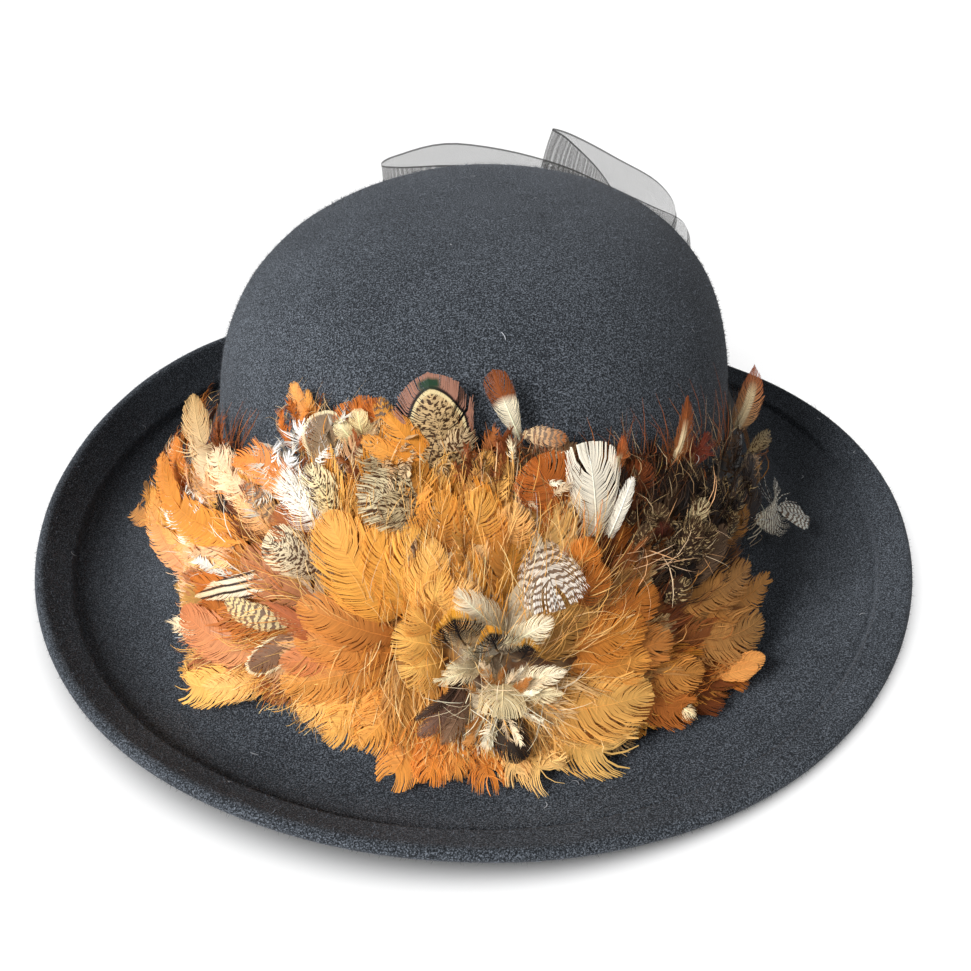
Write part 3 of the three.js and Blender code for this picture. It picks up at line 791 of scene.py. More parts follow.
@dataclass(frozen=True)
class FeatherVane:
    """Keratin barbs of a feather: a soft silky sheen along them, fine streaks, and light that glows through.

    Points hold their tint, their place among the barbs (along the shaft, sideways, seed) and their plan
    (share of the length, share of the half width, millimetres along).
    """

    name: str
    marking: Marking = Marking.PLAIN
    mark: str = "24160f"
    spot_size: float = 1.1
    bar_pitch: float = 2.4
    spot_threshold: float = 0.5
    sizes: MarkSizes = MarkSizes()
    seed_scale: float = 37
    streak_scale: tuple[float, float] = (1.9, 0.13)
    streak_detail: float = 3
    streak_roughness: float = 0.7
    streak_spread: tuple[float, float] = (0.3, 0.7)
    streak_gain: tuple[float, float] = (0.76, 1.2)
    barb_depth: float = 0.12
    barb_strength: float = 0.3
    roughness: float = 0.55
    sheen: float = 0.03
    specular: float = 0.16
    glow: float = 0.24

    def build(self) -> Material:
        """The vane's material: tint, streaks along the barbs, and its marking."""
        material, tree = new_material(self.name)
        streaks = noise(tree, self.on_barbs(tree, self.streak_scale), 1, self.streak_detail,
                        self.streak_roughness)
        shade = own_tint(tree, streaks, self.streak_spread, self.streak_gain)
        colour = shade if self.marking is Marking.PLAIN else self.marked(tree, shade)
        skin = add_node(tree, "ShaderNodeBsdfPrincipled",
                        {"Roughness": self.roughness, "Sheen Weight": self.sheen,
                         "Specular IOR Level": self.specular},
                        {"Base Color": colour,
                         "Normal": relief(tree, streaks, self.barb_strength, self.barb_depth)})
        through = add_node(tree, "ShaderNodeBsdfTranslucent", links={"Color": colour})
        mixed = add_node(tree, "ShaderNodeMixShader", {"Fac": self.glow},
                         {1: skin.outputs[0], 2: through.outputs[0]})
        show(tree, mixed)
        return material

    def on_barbs(self, tree: Tree, scale: tuple[float, float]) -> Any:
        """Place among the barbs, scaled along the shaft and sideways and apart for every feather."""
        barb = add_node(tree, "ShaderNodeAttribute", attribute_name="barb")
        return add_node(tree, "ShaderNodeMapping", {"Scale": (*scale, self.seed_scale)},
                        {"Vector": barb.outputs["Vector"]}).outputs["Vector"]

    def marked(self, tree: Tree, shade: Any) -> Any:
        """The vane's colour with its marking laid over the plain shade.

        Args:
            tree: The material's node tree.
            shade: The plain shade.

        Returns:
            The colour.
        """
        parts = split(tree, "plan")
        if self.marking is Marking.WINDOW:
            return self.window(tree, shade, parts)
        makers = {
            Marking.BARRED: self.bars, Marking.STRIPED: self.stripes, Marking.DARK_TIP: self.tip,
            Marking.COLLARED: self.collar, Marking.EDGED: self.edging, Marking.SHAFTED: self.shaft_line,
        }
        maker = makers.get(self.marking)
        share = maker(tree, parts) if maker else self.spots(tree)
        return self.layer(tree, share, shade, self.mark)

    def layer(self, tree: Tree, share: Any, under: Any, over: str) -> Any:
        """A hex colour laid over another by a share.

        Args:
            tree: The material's node tree.
            share: How much of the upper colour shows.
            under: The lower colour.
            over: The upper colour.

        Returns:
            The mixed colour.
        """
        mix = add_node(tree, "ShaderNodeMix", data_type="RGBA")
        tree.links.new(share, mix.inputs["Factor"])
        tree.links.new(under, mix.inputs[MIX_UNDER])
        mix.inputs[MIX_OVER].default_value = linear(over)
        return mix.outputs[MIX_OUT]

    def spots(self, tree: Tree) -> Any:
        """Small uneven spots all over, longer across the shaft than along it."""
        along, sideways = self.sizes.spot_stretch
        place = self.on_barbs(tree, (along / self.spot_size, sideways / self.spot_size))
        return between(tree, noise(tree, place, 1, self.sizes.spot_detail), self.spot_threshold,
                       self.spot_threshold + self.sizes.spot_fade)

    def bars(self, tree: Tree, parts: Node) -> Any:
        """Wavy dark bars across the shaft."""
        barb = add_node(tree, "ShaderNodeAttribute", attribute_name="barb")
        wobble = noise(tree, barb.outputs["Vector"], 1 / self.sizes.wobble_size, 1)
        bend = maths(tree, "MULTIPLY", wobble, self.bar_pitch * self.sizes.bar_wobble)
        steps = maths(tree, "MULTIPLY", maths(tree, "ADD", parts.outputs["Z"], bend), 2 / self.bar_pitch)
        return between(tree, maths(tree, "PINGPONG", steps, 1), *self.sizes.bar)

    def stripes(self, tree: Tree, parts: Node) -> Any:
        """Dark stripes that run along the feather beside a pale shaft."""
        steps = maths(tree, "MULTIPLY", parts.outputs["Y"], self.sizes.stripe_count)
        return between(tree, maths(tree, "PINGPONG", steps, 1), *self.sizes.stripe)

    def window(self, tree: Tree, shade: Any, parts: Node) -> Any:
        """A speckled middle in a cream arch, with a mauve-brown border and a green spot at the tip.

        Args:
            tree: The material's node tree.
            shade: The plain shade.
            parts: The point's plan over the vane.

        Returns:
            The colour.
        """
        sizes, edge = self.sizes, self.rim(tree, parts)
        colour = self.layer(tree, self.spots(tree), shade, self.mark)
        colour = self.layer(tree, between(tree, edge, *sizes.arch), colour, sizes.arch_colour)
        colour = self.layer(tree, between(tree, edge, *sizes.line), colour, sizes.line_colour)
        colour = self.layer(tree, between(tree, edge, *sizes.border), colour, sizes.border_colour)
        near_shaft = between(tree, self.squared(tree, parts.outputs["Y"]), *sizes.green_side)
        at_tip = between(tree, parts.outputs["X"], *sizes.green_start)
        before_end = between(tree, parts.outputs["X"], *sizes.green_end)
        green = maths(tree, "MULTIPLY", maths(tree, "MULTIPLY", near_shaft, at_tip), before_end)
        return self.layer(tree, green, colour, sizes.green_colour)

    def squared(self, tree: Tree, value: Any) -> Any:
        """A value times itself."""
        return maths(tree, "MULTIPLY", value, value)

    def rim(self, tree: Tree, parts: Node) -> Any:
        """How near a point is to the vane's rounded rim: 0 at the shaft's foot and 1 at the rim."""
        ends = between(tree, parts.outputs["X"], self.sizes.rim_start, 1)
        both = maths(tree, "ADD", self.squared(tree, parts.outputs["Y"]), self.squared(tree, ends))
        return maths(tree, "POWER", both, 0.5)

    def edging(self, tree: Tree, parts: Node) -> Any:
        """A pale line round the vane's rim."""
        return between(tree, self.rim(tree, parts), *self.sizes.edge)

    def shaft_line(self, tree: Tree, parts: Node) -> Any:
        """A pale stripe along the shaft that ends short of the tip."""
        near = between(tree, self.squared(tree, parts.outputs["Y"]), *self.sizes.shaft_side)
        return maths(tree, "MULTIPLY", near, between(tree, parts.outputs["X"], *self.sizes.shaft_end))

    def collar(self, tree: Tree, parts: Node) -> Any:
        """A nearly black band between a feather's grey foot and its coloured tip."""
        below = between(tree, parts.outputs["X"], *self.sizes.collar_end)
        return maths(tree, "MULTIPLY", below, between(tree, parts.outputs["X"], *self.sizes.collar_foot))

    def tip(self, tree: Tree, parts: Node) -> Any:
        """A feather whose outer part is nearly black."""
        return between(tree, parts.outputs["X"], *self.sizes.dark_tip)


VANES = (
    FeatherVane("cock hackle barbs"),
    FeatherVane("speckled pheasant barbs", Marking.SPECKLED, mark="4a2f1a", spot_size=0.8),
    FeatherVane("barred pheasant barbs", Marking.BARRED, mark="7d6653", bar_pitch=1.8),
    FeatherVane("striped pheasant barbs", Marking.STRIPED, mark="33231a"),
    FeatherVane("pheasant body feather barbs", Marking.WINDOW, mark="3e2814", spot_size=0.75),
    FeatherVane("dark-tipped barbs", Marking.DARK_TIP, mark="8a4a22"),
    FeatherVane("black-collared barbs", Marking.COLLARED, mark="17100d"),
    FeatherVane("cream-flecked brown barbs", Marking.FLECKED, mark="c4a878", spot_size=0.8,
                spot_threshold=0.56),
    FeatherVane("pale-edged barbs", Marking.EDGED, mark="e4d3ac"),
    FeatherVane("pale-shafted barbs", Marking.SHAFTED, mark="dcc49a"),
)


@dataclass(frozen=True)
class PaintedBoard:
    """The studio floor: matt white board with hardly any grain."""

    name: str = "matt white board"
    shades: tuple[str, ...] = ("f3f3f3", "f6f6f6")
    shade_places: tuple[float, ...] = (0.3, 0.7)
    grain_size: float = 50
    grain_detail: float = 2
    roughness: float = 0.85

    def build(self) -> Material:
        """The floor's material."""
        material, tree = new_material(self.name)
        grain = noise(tree, millimetres(tree), 1 / self.grain_size, self.grain_detail)
        skin = add_node(tree, "ShaderNodeBsdfPrincipled", {"Roughness": self.roughness},
                        {"Base Color": ramp(tree, grain, self.shade_places, self.shades)})
        show(tree, skin)
        return material


# Felt


@dataclass(frozen=True)
class Swell:
    """One low wave over hand-blocked felt: its length along x, y and z, its phase and its share."""

    lengths: tuple[float, float, float]
    phase: float = 0
    share: float = 1


SWELLS = (
    Swell((math.inf, 21, 15), phase=0.7), Swell((9, math.inf, -11), share=0.6),
    Swell((7.5, 7.5, 6), share=0.5),
)


@dataclass
class FeltBody:
    """Crown and brim of blocked felt, its stitched edge, its nap and the lint on it."""

    form: HatForm
    around: int = 320
    dome_rings: int = 40
    wall_rings: int = 8
    fillet_rings: int = 5
    slope_rings: int = 18
    curl_rings: int = 12
    edge_rings: int = 9
    line_steps: tuple[float, ...] = (-1.7, -1.2, -0.8, -0.4, 0, 0.4, 0.8, 1.3, 2.0, 3.2)
    line_gap: float = 2.4
    bead_start: float = 4.2
    bead_rings: int = 6
    raise_start: float = 0.2
    raise_width: float = 1.5
    crease_place: float = 0.5
    crease_depth: float = 0.55
    crease_width: float = 0.9
    tilt_step: float = 0.5
    swell_height: float = 0.11
    swell_length: float = 17
    swell_bend: float = 1.3
    swell_bend_length: float = 29
    swell_upright: float = 0.6
    swell_fade: float = 20
    nap_count: int = 92_000
    nap_length: tuple[float, float] = (0.6, 1.5)
    nap_width: float = 0.1
    nap_colours: tuple[str, str] = ("191b20", "727984")
    nap_darkness: float = 2.2
    lint_count: int = 60
    lint_steps: int = 6
    lint_reach: tuple[float, float] = (0.9, 2.8)
    lint_bend: tuple[float, float] = (-1.6, 1.6)
    lint_height: float = 0.3
    lint_arch: float = 0.4
    lint_half: float = 0.11
    lint_colour: str = "b9bcc2"
    lint_shade: tuple[float, float] = (0.5, 1)
    stitch_pitch: float = 3.4
    stitch_inset: float = 0.9
    stitch_sink: float = 0.15
    stitch_end_sink: float = 0.35
    stitch_sides: int = 5
    stitch_half: float = 0.16
    stitch_run: tuple[float, ...] = (0.1, 0.22, 0.58, 0.7)
    stitch_plump: tuple[float, ...] = (0.3, 1, 1, 0.3)
    stitch_colour: str = "16171b"
    seed: int = 11

    def dome(self, inset: float) -> np.ndarray:
        """Rings of the crown from just under its top down to the wall's top.

        Args:
            inset: How far inside the outer face they lie.

        Returns:
            One ring of points a row.
        """
        turn = np.linspace(0, np.pi / 2, self.dome_rings + 1)[1:]
        rise = np.cos(turn) ** (2 / self.form.roundness)
        rise[-1] = 0
        span = self.form.crown_height - inset - self.form.wall_top
        heights = self.form.wall_top + span * rise
        wall = np.linspace(self.form.wall_top, self.form.root_fillet, self.wall_rings + 1)[1:-1]
        levels = np.concatenate([heights, wall])
        return self.form.crown_point(self.angles()[None, :], levels[:, None], inset)

    def angles(self) -> np.ndarray:
        """Angles of the rings' points."""
        return np.linspace(0, 2 * np.pi, self.around, endpoint=False)

    def stations(self, width: np.ndarray) -> np.ndarray:
        """Places across the brim, close together at the welt's inner line.

        Args:
            width: Widths of the brim.

        Returns:
            Distances out from the crown's foot, one row of places for all widths.
        """
        form = self.form
        start = form.rest_from * width
        end = start + form.rest_width
        welt = width - form.welt_width
        slope = form.root_fillet + np.linspace(0, 1, self.slope_rings)[:, None] * (start - form.root_fillet)
        curl = end + np.linspace(0, 1, self.curl_rings)[:, None] * (welt - self.line_gap - end)
        line = welt + np.array(self.line_steps)[:, None]
        bead = welt + np.linspace(self.bead_start, form.welt_width, self.bead_rings)[:, None]
        return np.concatenate([slope, curl, line, bead])

    def profile(self, under: bool) -> np.ndarray:
        """Rings of the brim from the crown's wall to the edge: the upper face or the underside.

        Args:
            under: Whether they are those of the underside.

        Returns:
            One ring of points a row.
        """
        form, a = self.form, self.angles()
        foot, way, width = form.spoke(a)
        out = self.stations(width)
        rise = (form.brim_height(a, np.minimum(out + self.tilt_step, width))
                - form.brim_height(a, out - self.tilt_step))
        run = np.minimum(out + self.tilt_step, width) - out + self.tilt_step
        tilt = np.arctan(rise / run)
        from_line = out - (width - form.welt_width)
        raised = form.welt_raise * ease((from_line + self.raise_start) / self.raise_width)
        crease = self.crease_depth * np.exp(-((from_line + self.crease_place) / self.crease_width) ** 2)
        offset = -form.felt if under else raised - crease
        z = form.brim_height(a, out) + offset * np.cos(tilt)
        flat = out - offset * np.sin(tilt)
        turn = np.linspace(0, np.pi / 2, self.fillet_rings, endpoint=False)[:, None]
        radius = form.root_fillet + (form.felt if under else 0)
        fillet_out = form.root_fillet - radius * np.cos(turn) + 0 * width
        fillet_z = form.base_z + form.root_fillet - radius * np.sin(turn) + 0 * width
        flat = np.concatenate([fillet_out, flat])
        points = foot[None] + way[None] * flat[..., None]
        points[..., 2] = np.concatenate([fillet_z, z])
        return points

    def rounded_edge(self, top: np.ndarray, bottom: np.ndarray) -> np.ndarray:
        """Rings of the folded edge, a half round from the upper face to the underside.

        Args:
            top: The upper face's last ring.
            bottom: The underside's last ring.

        Returns:
            One ring of points a row.
        """
        middle, half = (top + bottom) / 2, (top - bottom) / 2
        way = self.form.spoke(self.angles())[1]
        side = np.stack([-way[:, 1], way[:, 0], np.zeros(len(way))], axis=-1)
        out = unit(np.cross(half, side))
        out *= np.sign((out * way).sum(axis=-1, keepdims=True))
        reach = np.linalg.norm(half, axis=-1, keepdims=True)
        turn = np.linspace(0, np.pi, self.edge_rings + 2)[1:-1, None, None]
        return middle + half * np.cos(turn) + out * reach * np.sin(turn)

    def rings(self) -> np.ndarray:
        """All rings of the body, from the crown's top down, round the edge and up inside."""
        upper, lower = self.profile(False), self.profile(True)
        edge = self.rounded_edge(upper[-1], lower[-1])
        inside = self.dome(self.form.felt)
        return np.concatenate([self.dome(0), upper, edge, lower[::-1], inside[::-1]])

    def hand(self, points: np.ndarray) -> np.ndarray:
        """Small uneven swells of hand-blocked felt, under half a millimetre.

        Args:
            points: The body's points.

        Returns:
            The moved points.
        """
        bend = self.swell_bend * np.sin(points[..., 1] / self.swell_bend_length)
        swell = np.sin(points[..., 0] / self.swell_length + bend)
        for wave in SWELLS:
            swell = swell + wave.share * np.sin(points @ (1 / np.array(wave.lengths)) + wave.phase)
        centre = np.array([self.form.crown_x, self.form.crown_y, 0])
        way = unit((points - centre) * np.array([1, 1, self.swell_upright]))
        size = self.swell_height * swell * np.clip(points[..., 2] / self.swell_fade, 0, 1)
        return points + way * size[..., None]

    def build(self, felt: Material, nap: Material, thread: Material) -> list[Piece]:
        """Builds the body with its nap, lint and stitches.

        Args:
            felt: Finish of the body.
            nap: Finish of the loose fibres.
            thread: Finish of the stitches.

        Returns:
            The pieces.
        """
        rings = self.hand(self.rings())
        count = rings.shape[1]
        quads = ring_faces(len(rings), count)
        base = (len(rings) - 1) * count
        top = np.array([self.form.crown_x + self.form.lean, self.form.crown_y,
                        self.form.base_z + self.form.crown_height])
        ceiling = top - np.array([0, 0, self.form.felt])
        points = np.concatenate([rings.reshape(-1, 3), top[None], ceiling[None]])
        caps = [fan(0, count, len(points) - 2, False), fan(base, count, len(points) - 1, True)]
        faces = np.concatenate([quads, *caps])[:, ::-1]
        body = set_on_hat(mesh_object("felt_crown_and_brim", points, faces, felt), "felt", "felt_body")
        outer = (len(rings) + self.edge_rings) // 2
        shown = faces[faces.max(axis=1) < outer * count]
        return [body, self.nap(points, shown, nap), self.stitches(thread)]

    def nap(self, points: np.ndarray, faces: np.ndarray, nap: Material) -> Piece:
        """Short fibres that stand off the felt, and a few pale hairs lying on it.

        Args:
            points: The body's points.
            faces: Its faces that the nap grows on.
            nap: Finish of the fibres.

        Returns:
            One piece of all the fibres.
        """
        rng = np.random.default_rng(self.seed)
        corners = points[faces]
        cross = np.cross(corners[:, 1] - corners[:, 0], corners[:, 2] - corners[:, 0])
        area = np.linalg.norm(cross, axis=1)
        normal = cross / np.maximum(area, TINY)[:, None]
        picked = rng.choice(len(faces), self.nap_count, p=area / area.sum())
        u, v = rng.random((2, self.nap_count, 1))
        flip = u + v > 1
        u, v = np.where(flip, 1 - u, u), np.where(flip, 1 - v, v)
        a, b, c = corners[picked, 0], corners[picked, 1], corners[picked, 2]
        root = a + (b - a) * u + (c - a) * v
        lean = rng.normal(size=(self.nap_count, 3))
        way = unit(normal[picked] + lean)
        length = rng.uniform(*self.nap_length, (self.nap_count, 1))
        side = unit(np.cross(way, rng.normal(size=(self.nap_count, 3)))) * self.nap_width / 2
        fibres = np.stack([root - side, root + side, root + way * length], axis=1)
        dark, light = colours(*self.nap_colours)
        share = rng.random((self.nap_count, 1, 1)) ** self.nap_darkness
        soup = Soup()
        soup.add(fibres, np.arange(self.nap_count * 3), tint=dark + (light - dark) * share + 0 * fibres)
        for i in rng.choice(self.nap_count, self.lint_count):
            self.add_lint(soup, root[i], normal[picked[i]], rng)
        return set_on_hat(soup.piece("felt_nap", nap), "felt")

    def add_lint(self, soup: Soup, root: np.ndarray, normal: np.ndarray, rng: np.random.Generator) -> None:
        """Adds one thin curled pale hair lying on the felt.

        Args:
            soup: The piece's triangles.
            root: Where the hair starts.
            normal: The way out of the felt there.
            rng: The nap's random numbers.
        """
        flat = unit(np.cross(normal, rng.normal(size=3)))
        side = np.cross(normal, flat)
        reach = rng.uniform(*self.lint_reach)
        bend = rng.uniform(*self.lint_bend)
        t = np.linspace(0, 1, self.lint_steps)[:, None]
        line = root + reach * (flat * t + side * bend * t * (1 - t))
        line = line + normal * (self.lint_height + self.lint_arch * t * (1 - t))
        width = side * self.lint_half
        strip = np.stack([line - width, line + width], axis=1)
        faces = ring_faces(self.lint_steps, 2, closed=False)
        soup.add(strip, faces, tint=colours(self.lint_colour)[0] * rng.uniform(*self.lint_shade))

    def stitches(self, thread: Material) -> Piece:
        """The row of small stitches just inside the welt's inner line.

        Args:
            thread: Finish of the thread.

        Returns:
            One piece of all the stitches.
        """
        form, a = self.form, self.angles()
        foot, way, width = form.spoke(a)
        out = width - form.welt_width + self.stitch_inset
        line = foot + way * out[:, None]
        line[:, 2] = form.brim_height(a, out) + form.welt_raise - self.stitch_sink
        line = np.concatenate([line, line[:1]])
        gone = run_of(line)
        count = int(gone[-1] / self.stitch_pitch)
        soup = Soup()
        turn = np.linspace(0, 2 * np.pi, self.stitch_sides, endpoint=False)
        half = self.stitch_half * np.array(self.stitch_plump)
        faces = ring_faces(len(half), self.stitch_sides)
        for i in range(count):
            at = (i + np.array(self.stitch_run)) * self.stitch_pitch
            centre = np.stack([np.interp(at, gone, line[:, j]) for j in range(3)], axis=-1)
            centre[[0, -1], 2] -= self.stitch_end_sink
            along = unit(centre[-1] - centre[0])
            side = unit(np.cross(along, [0, 0, 1]))
            up = np.cross(side, along)
            ring = np.cos(turn)[:, None] * side + np.sin(turn)[:, None] * up
            points = centre[:, None] + ring[None] * half[:, None, None]
            soup.add(points, faces, tint=colours(self.stitch_colour)[0])
        return set_on_hat(soup.piece("welt_stitches", thread), "felt")


# Crin


@dataclass(frozen=True)
class LoopRow:
    """The middle line of a loop, half of the ribbon's width there, and how far it leans to the right."""

    x: float
    y: float
    z: float
    half: float
    lean: float


LOOP_LEFT = (
    LoopRow(78.4, 88.2, 46, 9, 0), LoopRow(87.6, 92.2, 49, 15, 0), LoopRow(89, 103, 51, 22, 0),
    LoopRow(77, 114, 50, 27, 0), LoopRow(55, 122, 54, 31, 0.03), LoopRow(31, 126, 60, 34, 0.05),
    LoopRow(-5, 129, 64, 37, 0.02), LoopRow(-28, 124.5, 62, 36, -0.05), LoopRow(-34, 119, 61, 35, -0.06),
    LoopRow(-27, 115.2, 61, 35, -0.04), LoopRow(-5, 115, 61, 35, 0), LoopRow(20, 112, 60, 34, 0),
    LoopRow(40, 104.8, 57, 29, 0), LoopRow(55, 95.4, 52, 21, 0), LoopRow(65, 87.3, 48, 13, 0),
    LoopRow(70.1, 82.1, 46, 9, 0),
)
LOOP_RIGHT = (
    LoopRow(74.4, 85.7, 46, 9, 0), LoopRow(77.8, 92.4, 54, 16, 0.1), LoopRow(80.5, 100.5, 58, 22, 0.18),
    LoopRow(71, 108.5, 62, 28, 0.22), LoopRow(52, 115.5, 67, 32, 0.25), LoopRow(33, 118, 73, 35, 0.27),
    LoopRow(24.5, 116, 75, 36, 0.28), LoopRow(32, 113.2, 72, 35, 0.27), LoopRow(47, 107, 65, 30, 0.22),
    LoopRow(60, 98.5, 57, 22, 0.15), LoopRow(68.1, 89.8, 50, 14, 0.06), LoopRow(72.4, 84, 46, 9, 0),
)


def catmull(rows: np.ndarray, steps: int) -> np.ndarray:
    """Points on a smooth line through rows.

    Args:
        rows: The points it passes, one a row.
        steps: Steps between one row and the next.

    Returns:
        All points of the line.
    """
    ends = np.concatenate([2 * rows[:1] - rows[1:2], rows, 2 * rows[-1:] - rows[-2:-1]])
    t = np.linspace(0, 1, steps, endpoint=False)[:, None]
    parts = []
    for i in range(len(rows) - 1):
        p0, p1, p2, p3 = ends[i:i + 4]
        parts.append(0.5 * (2 * p1 + (p2 - p0) * t + (2 * p0 - 5 * p1 + 4 * p2 - p3) * t ** 2
                            + (3 * p1 - p0 - 3 * p2 + p3) * t ** 3))
    return np.concatenate([*parts, rows[-1:]])


@dataclass
class CrinTrim:
    """The crushed band round the crown's foot, the knot on it and the bow's two loops.

    Folds are heights over the crown's base and ways out from it. A row of wander is a wave's size, its turns
    round the band and its phase; a crush is a wave's size and its radians for each millimetre of height.
    """

    form: HatForm
    ribbon_half: float = 37.5
    steps: int = 6
    across: int = 41
    pleats: float = 4.5
    pleat_depth: float = 2.2
    pleat_drift: float = 0.0175
    ripple_height: float = 0.35
    ripple_length: float = 5.5
    ripple_slant: float = 2.1
    band_around: int = 260
    band_steps: int = 4
    band_folds: tuple[tuple[float, float], ...] = (
        (5.2, 0.3), (5.2, 4.6), (8, 5.9), (11, 6.1), (13.4, 5.6), (16, 5.1), (18.6, 5.8), (21.5, 6.0),
        (24.5, 5.2), (27, 4.2), (27, 0.3),
    )
    wander: tuple[tuple[float, float, float], ...] = ((1.1, 3, 0), (0.8, 7, 1), (0.5, 13, 2))
    folded_from: float = 5.2
    folded_tall: float = 21.8
    crush: tuple[float, float] = (0.45, 1.9)
    fine_crush: tuple[float, float] = (0.16, 4.6)
    fine_bend: float = 2.3
    fine_turns: float = 9
    sway: float = 0.8
    sway_turns: float = 5
    crushed_stretch: float = 2.2
    selvage_height: float = 26.2
    selvage_place: float = 0.6
    inner_place: float = 4
    knot_place: tuple[float, float, float] = (75.6, 80.1, 45)
    knot_turn: float = 38
    knot_half_out: float = 7.2
    knot_half_round: float = 7
    knot_half_tall: float = 13
    knot_squareness: float = 2.6
    knot_groove: float = 0.05
    groove_turns: float = 4.5
    groove_bend: float = 0.8
    knot_pleat: float = 0.025
    pleat_turns: float = 26
    pleat_bend: float = 3
    knot_stretch: float = 1.5
    knot_inner: float = 9
    knot_rings: int = 36
    knot_around: int = 72

    def loop(self, name: str, rows: tuple[LoopRow, ...], net: Material) -> Piece:
        """One loop of the bow: braid at full width over its fold, gathered in pleats at the knot.

        Args:
            name: The piece's name, which ends in the node's side.
            rows: The loop's middle line.
            net: Finish of the braid.

        Returns:
            The piece.
        """
        table = np.array([[r.x, r.y, r.z, r.half, r.lean] for r in rows])
        line = catmull(table, self.steps)
        centre, half, lean = line[:, :3], line[:, 3], line[:, 4]
        along = unit(np.gradient(centre, axis=0))
        up = unit(np.stack([lean, np.zeros_like(lean), np.ones_like(lean)], axis=-1))
        face = unit(np.cross(along, up))
        gone = run_of(centre)
        share = np.linspace(-1, 1, self.across)[None, :]
        gathered = np.clip(1 - half / self.ribbon_half, 0, 1)[:, None]
        wave = np.sin(np.pi * self.pleats * (share + 1) + self.pleat_drift * gone[:, None])
        depth = self.pleat_depth * gathered * wave
        ripple = np.sin(gone[:, None] / self.ripple_length + self.ripple_slant * share)
        ripple = self.ripple_height * ripple * (1 - gathered) * share ** 4
        points = (centre[:, None] + up[:, None] * (half[:, None] * share)[..., None]
                  + face[:, None] * (depth + ripple)[..., None])
        flat = self.ribbon_half * (1 - np.abs(share)) + 0 * gone[:, None]
        weave = np.stack([gone[:, None] + 0 * share, self.ribbon_half * share + 0 * gone[:, None], flat],
                         axis=-1)
        soup = Soup()
        soup.add(points, ring_faces(len(centre), self.across, closed=False), weave=weave)
        piece = set_on_hat(soup.piece(name, net), "crin", name.replace("braid_", "crin_"))
        return piece

    def band(self, crushed: Material) -> Piece:
        """The braid crushed into soft folds round the crown's foot.

        Args:
            crushed: Finish of the crushed braid.

        Returns:
            The band.
        """
        a = np.linspace(0, 2 * np.pi, self.band_around, endpoint=False)
        folds = np.array(self.band_folds)
        levels = catmull(folds[1:-1], self.band_steps)
        levels = np.concatenate([folds[:1], levels, folds[-1:]])
        height = levels[:, :1] + 0 * a
        outer = (levels[:, 1:] > 1).astype(float)
        wander = sum(size * np.sin(turns * a + phase) for size, turns, phase in self.wander)
        middle = outer * np.sin(np.pi * np.clip((height - self.folded_from) / self.folded_tall, 0, 1))
        crush = self.crush[0] * np.sin(height * self.crush[1] + wander) * middle
        bend = self.fine_bend * wander + self.fine_turns * a
        fine = self.fine_crush[0] * np.sin(height * self.fine_crush[1] + bend) * middle
        sway = self.sway * middle * np.sin(self.sway_turns * a)
        points = self.form.place(a, levels[:, 1:] + crush + fine, height + sway)
        round_mm = a * self.form.crown_half_depth + 0 * height
        inside = np.where(height > self.selvage_height, self.selvage_place, self.inner_place)
        weave = np.stack([round_mm, height * self.crushed_stretch, inside], axis=-1)
        soup = Soup()
        rows = len(levels)
        k = np.arange(self.band_around)
        n = (k + 1) % self.band_around
        last = (rows - 1) * self.band_around
        closing = triangles_of(np.stack([last + k, last + n, n, k], axis=-1))
        faces = np.concatenate([ring_faces(rows, self.band_around), closing])
        soup.add(points, faces, weave=weave)
        return set_on_hat(soup.piece("crin_band_crushed", crushed), "crin", "crin_band")

    def knot(self, crushed: Material) -> Piece:
        """The wound knot: turns of braid pulled tight over the gathered ends.

        Args:
            crushed: Finish of the crushed braid.

        Returns:
            The knot.
        """
        turn = math.radians(self.knot_turn)
        out_way = np.array([math.cos(turn), math.sin(turn), 0])
        round_way = np.array([-math.sin(turn), math.cos(turn), 0])
        power = 2 / self.knot_squareness
        latitude = np.linspace(-np.pi / 2, np.pi / 2, self.knot_rings)[1:-1, None]
        around = np.linspace(0, 2 * np.pi, self.knot_around, endpoint=False)[None, :]
        tall = np.sign(np.sin(latitude)) * np.abs(np.sin(latitude)) ** power
        wide = np.cos(latitude) ** power
        groove = np.abs(np.sin(self.groove_turns * latitude + self.groove_bend * np.sin(around)))
        groove = 1 - self.knot_groove * groove
        pleat = 1 + self.knot_pleat * np.sin(self.pleat_turns * tall + self.pleat_bend * np.sin(2 * around))
        x = np.sign(np.cos(around)) * np.abs(np.cos(around)) ** power * wide * groove * pleat
        y = np.sign(np.sin(around)) * np.abs(np.sin(around)) ** power * wide * groove * pleat
        centre = np.array(self.knot_place)
        points = (centre + out_way * (self.knot_half_out * x)[..., None]
                  + round_way * (self.knot_half_round * y)[..., None]
                  + np.array([0, 0, 1]) * (self.knot_half_tall * (tall + 0 * around))[..., None])
        rows, count = points.shape[:2]
        ends = np.array([centre - [0, 0, self.knot_half_tall], centre + [0, 0, self.knot_half_tall]])
        base, last = rows * count, (rows - 1) * count
        caps = [fan(0, count, base, False), fan(last, count, base + 1, True)]
        flat = np.concatenate([points.reshape(-1, 3), ends])
        inside = np.full(len(flat), self.knot_inner)
        weave = np.stack([flat[:, 0] + flat[:, 1], flat[:, 2] * self.knot_stretch, inside], axis=-1)
        soup = Soup()
        soup.add(flat, np.concatenate([ring_faces(rows, count), *caps]), weave=weave)
        return set_on_hat(soup.piece("crin_knot_wound", crushed), "crin", "crin_knot")

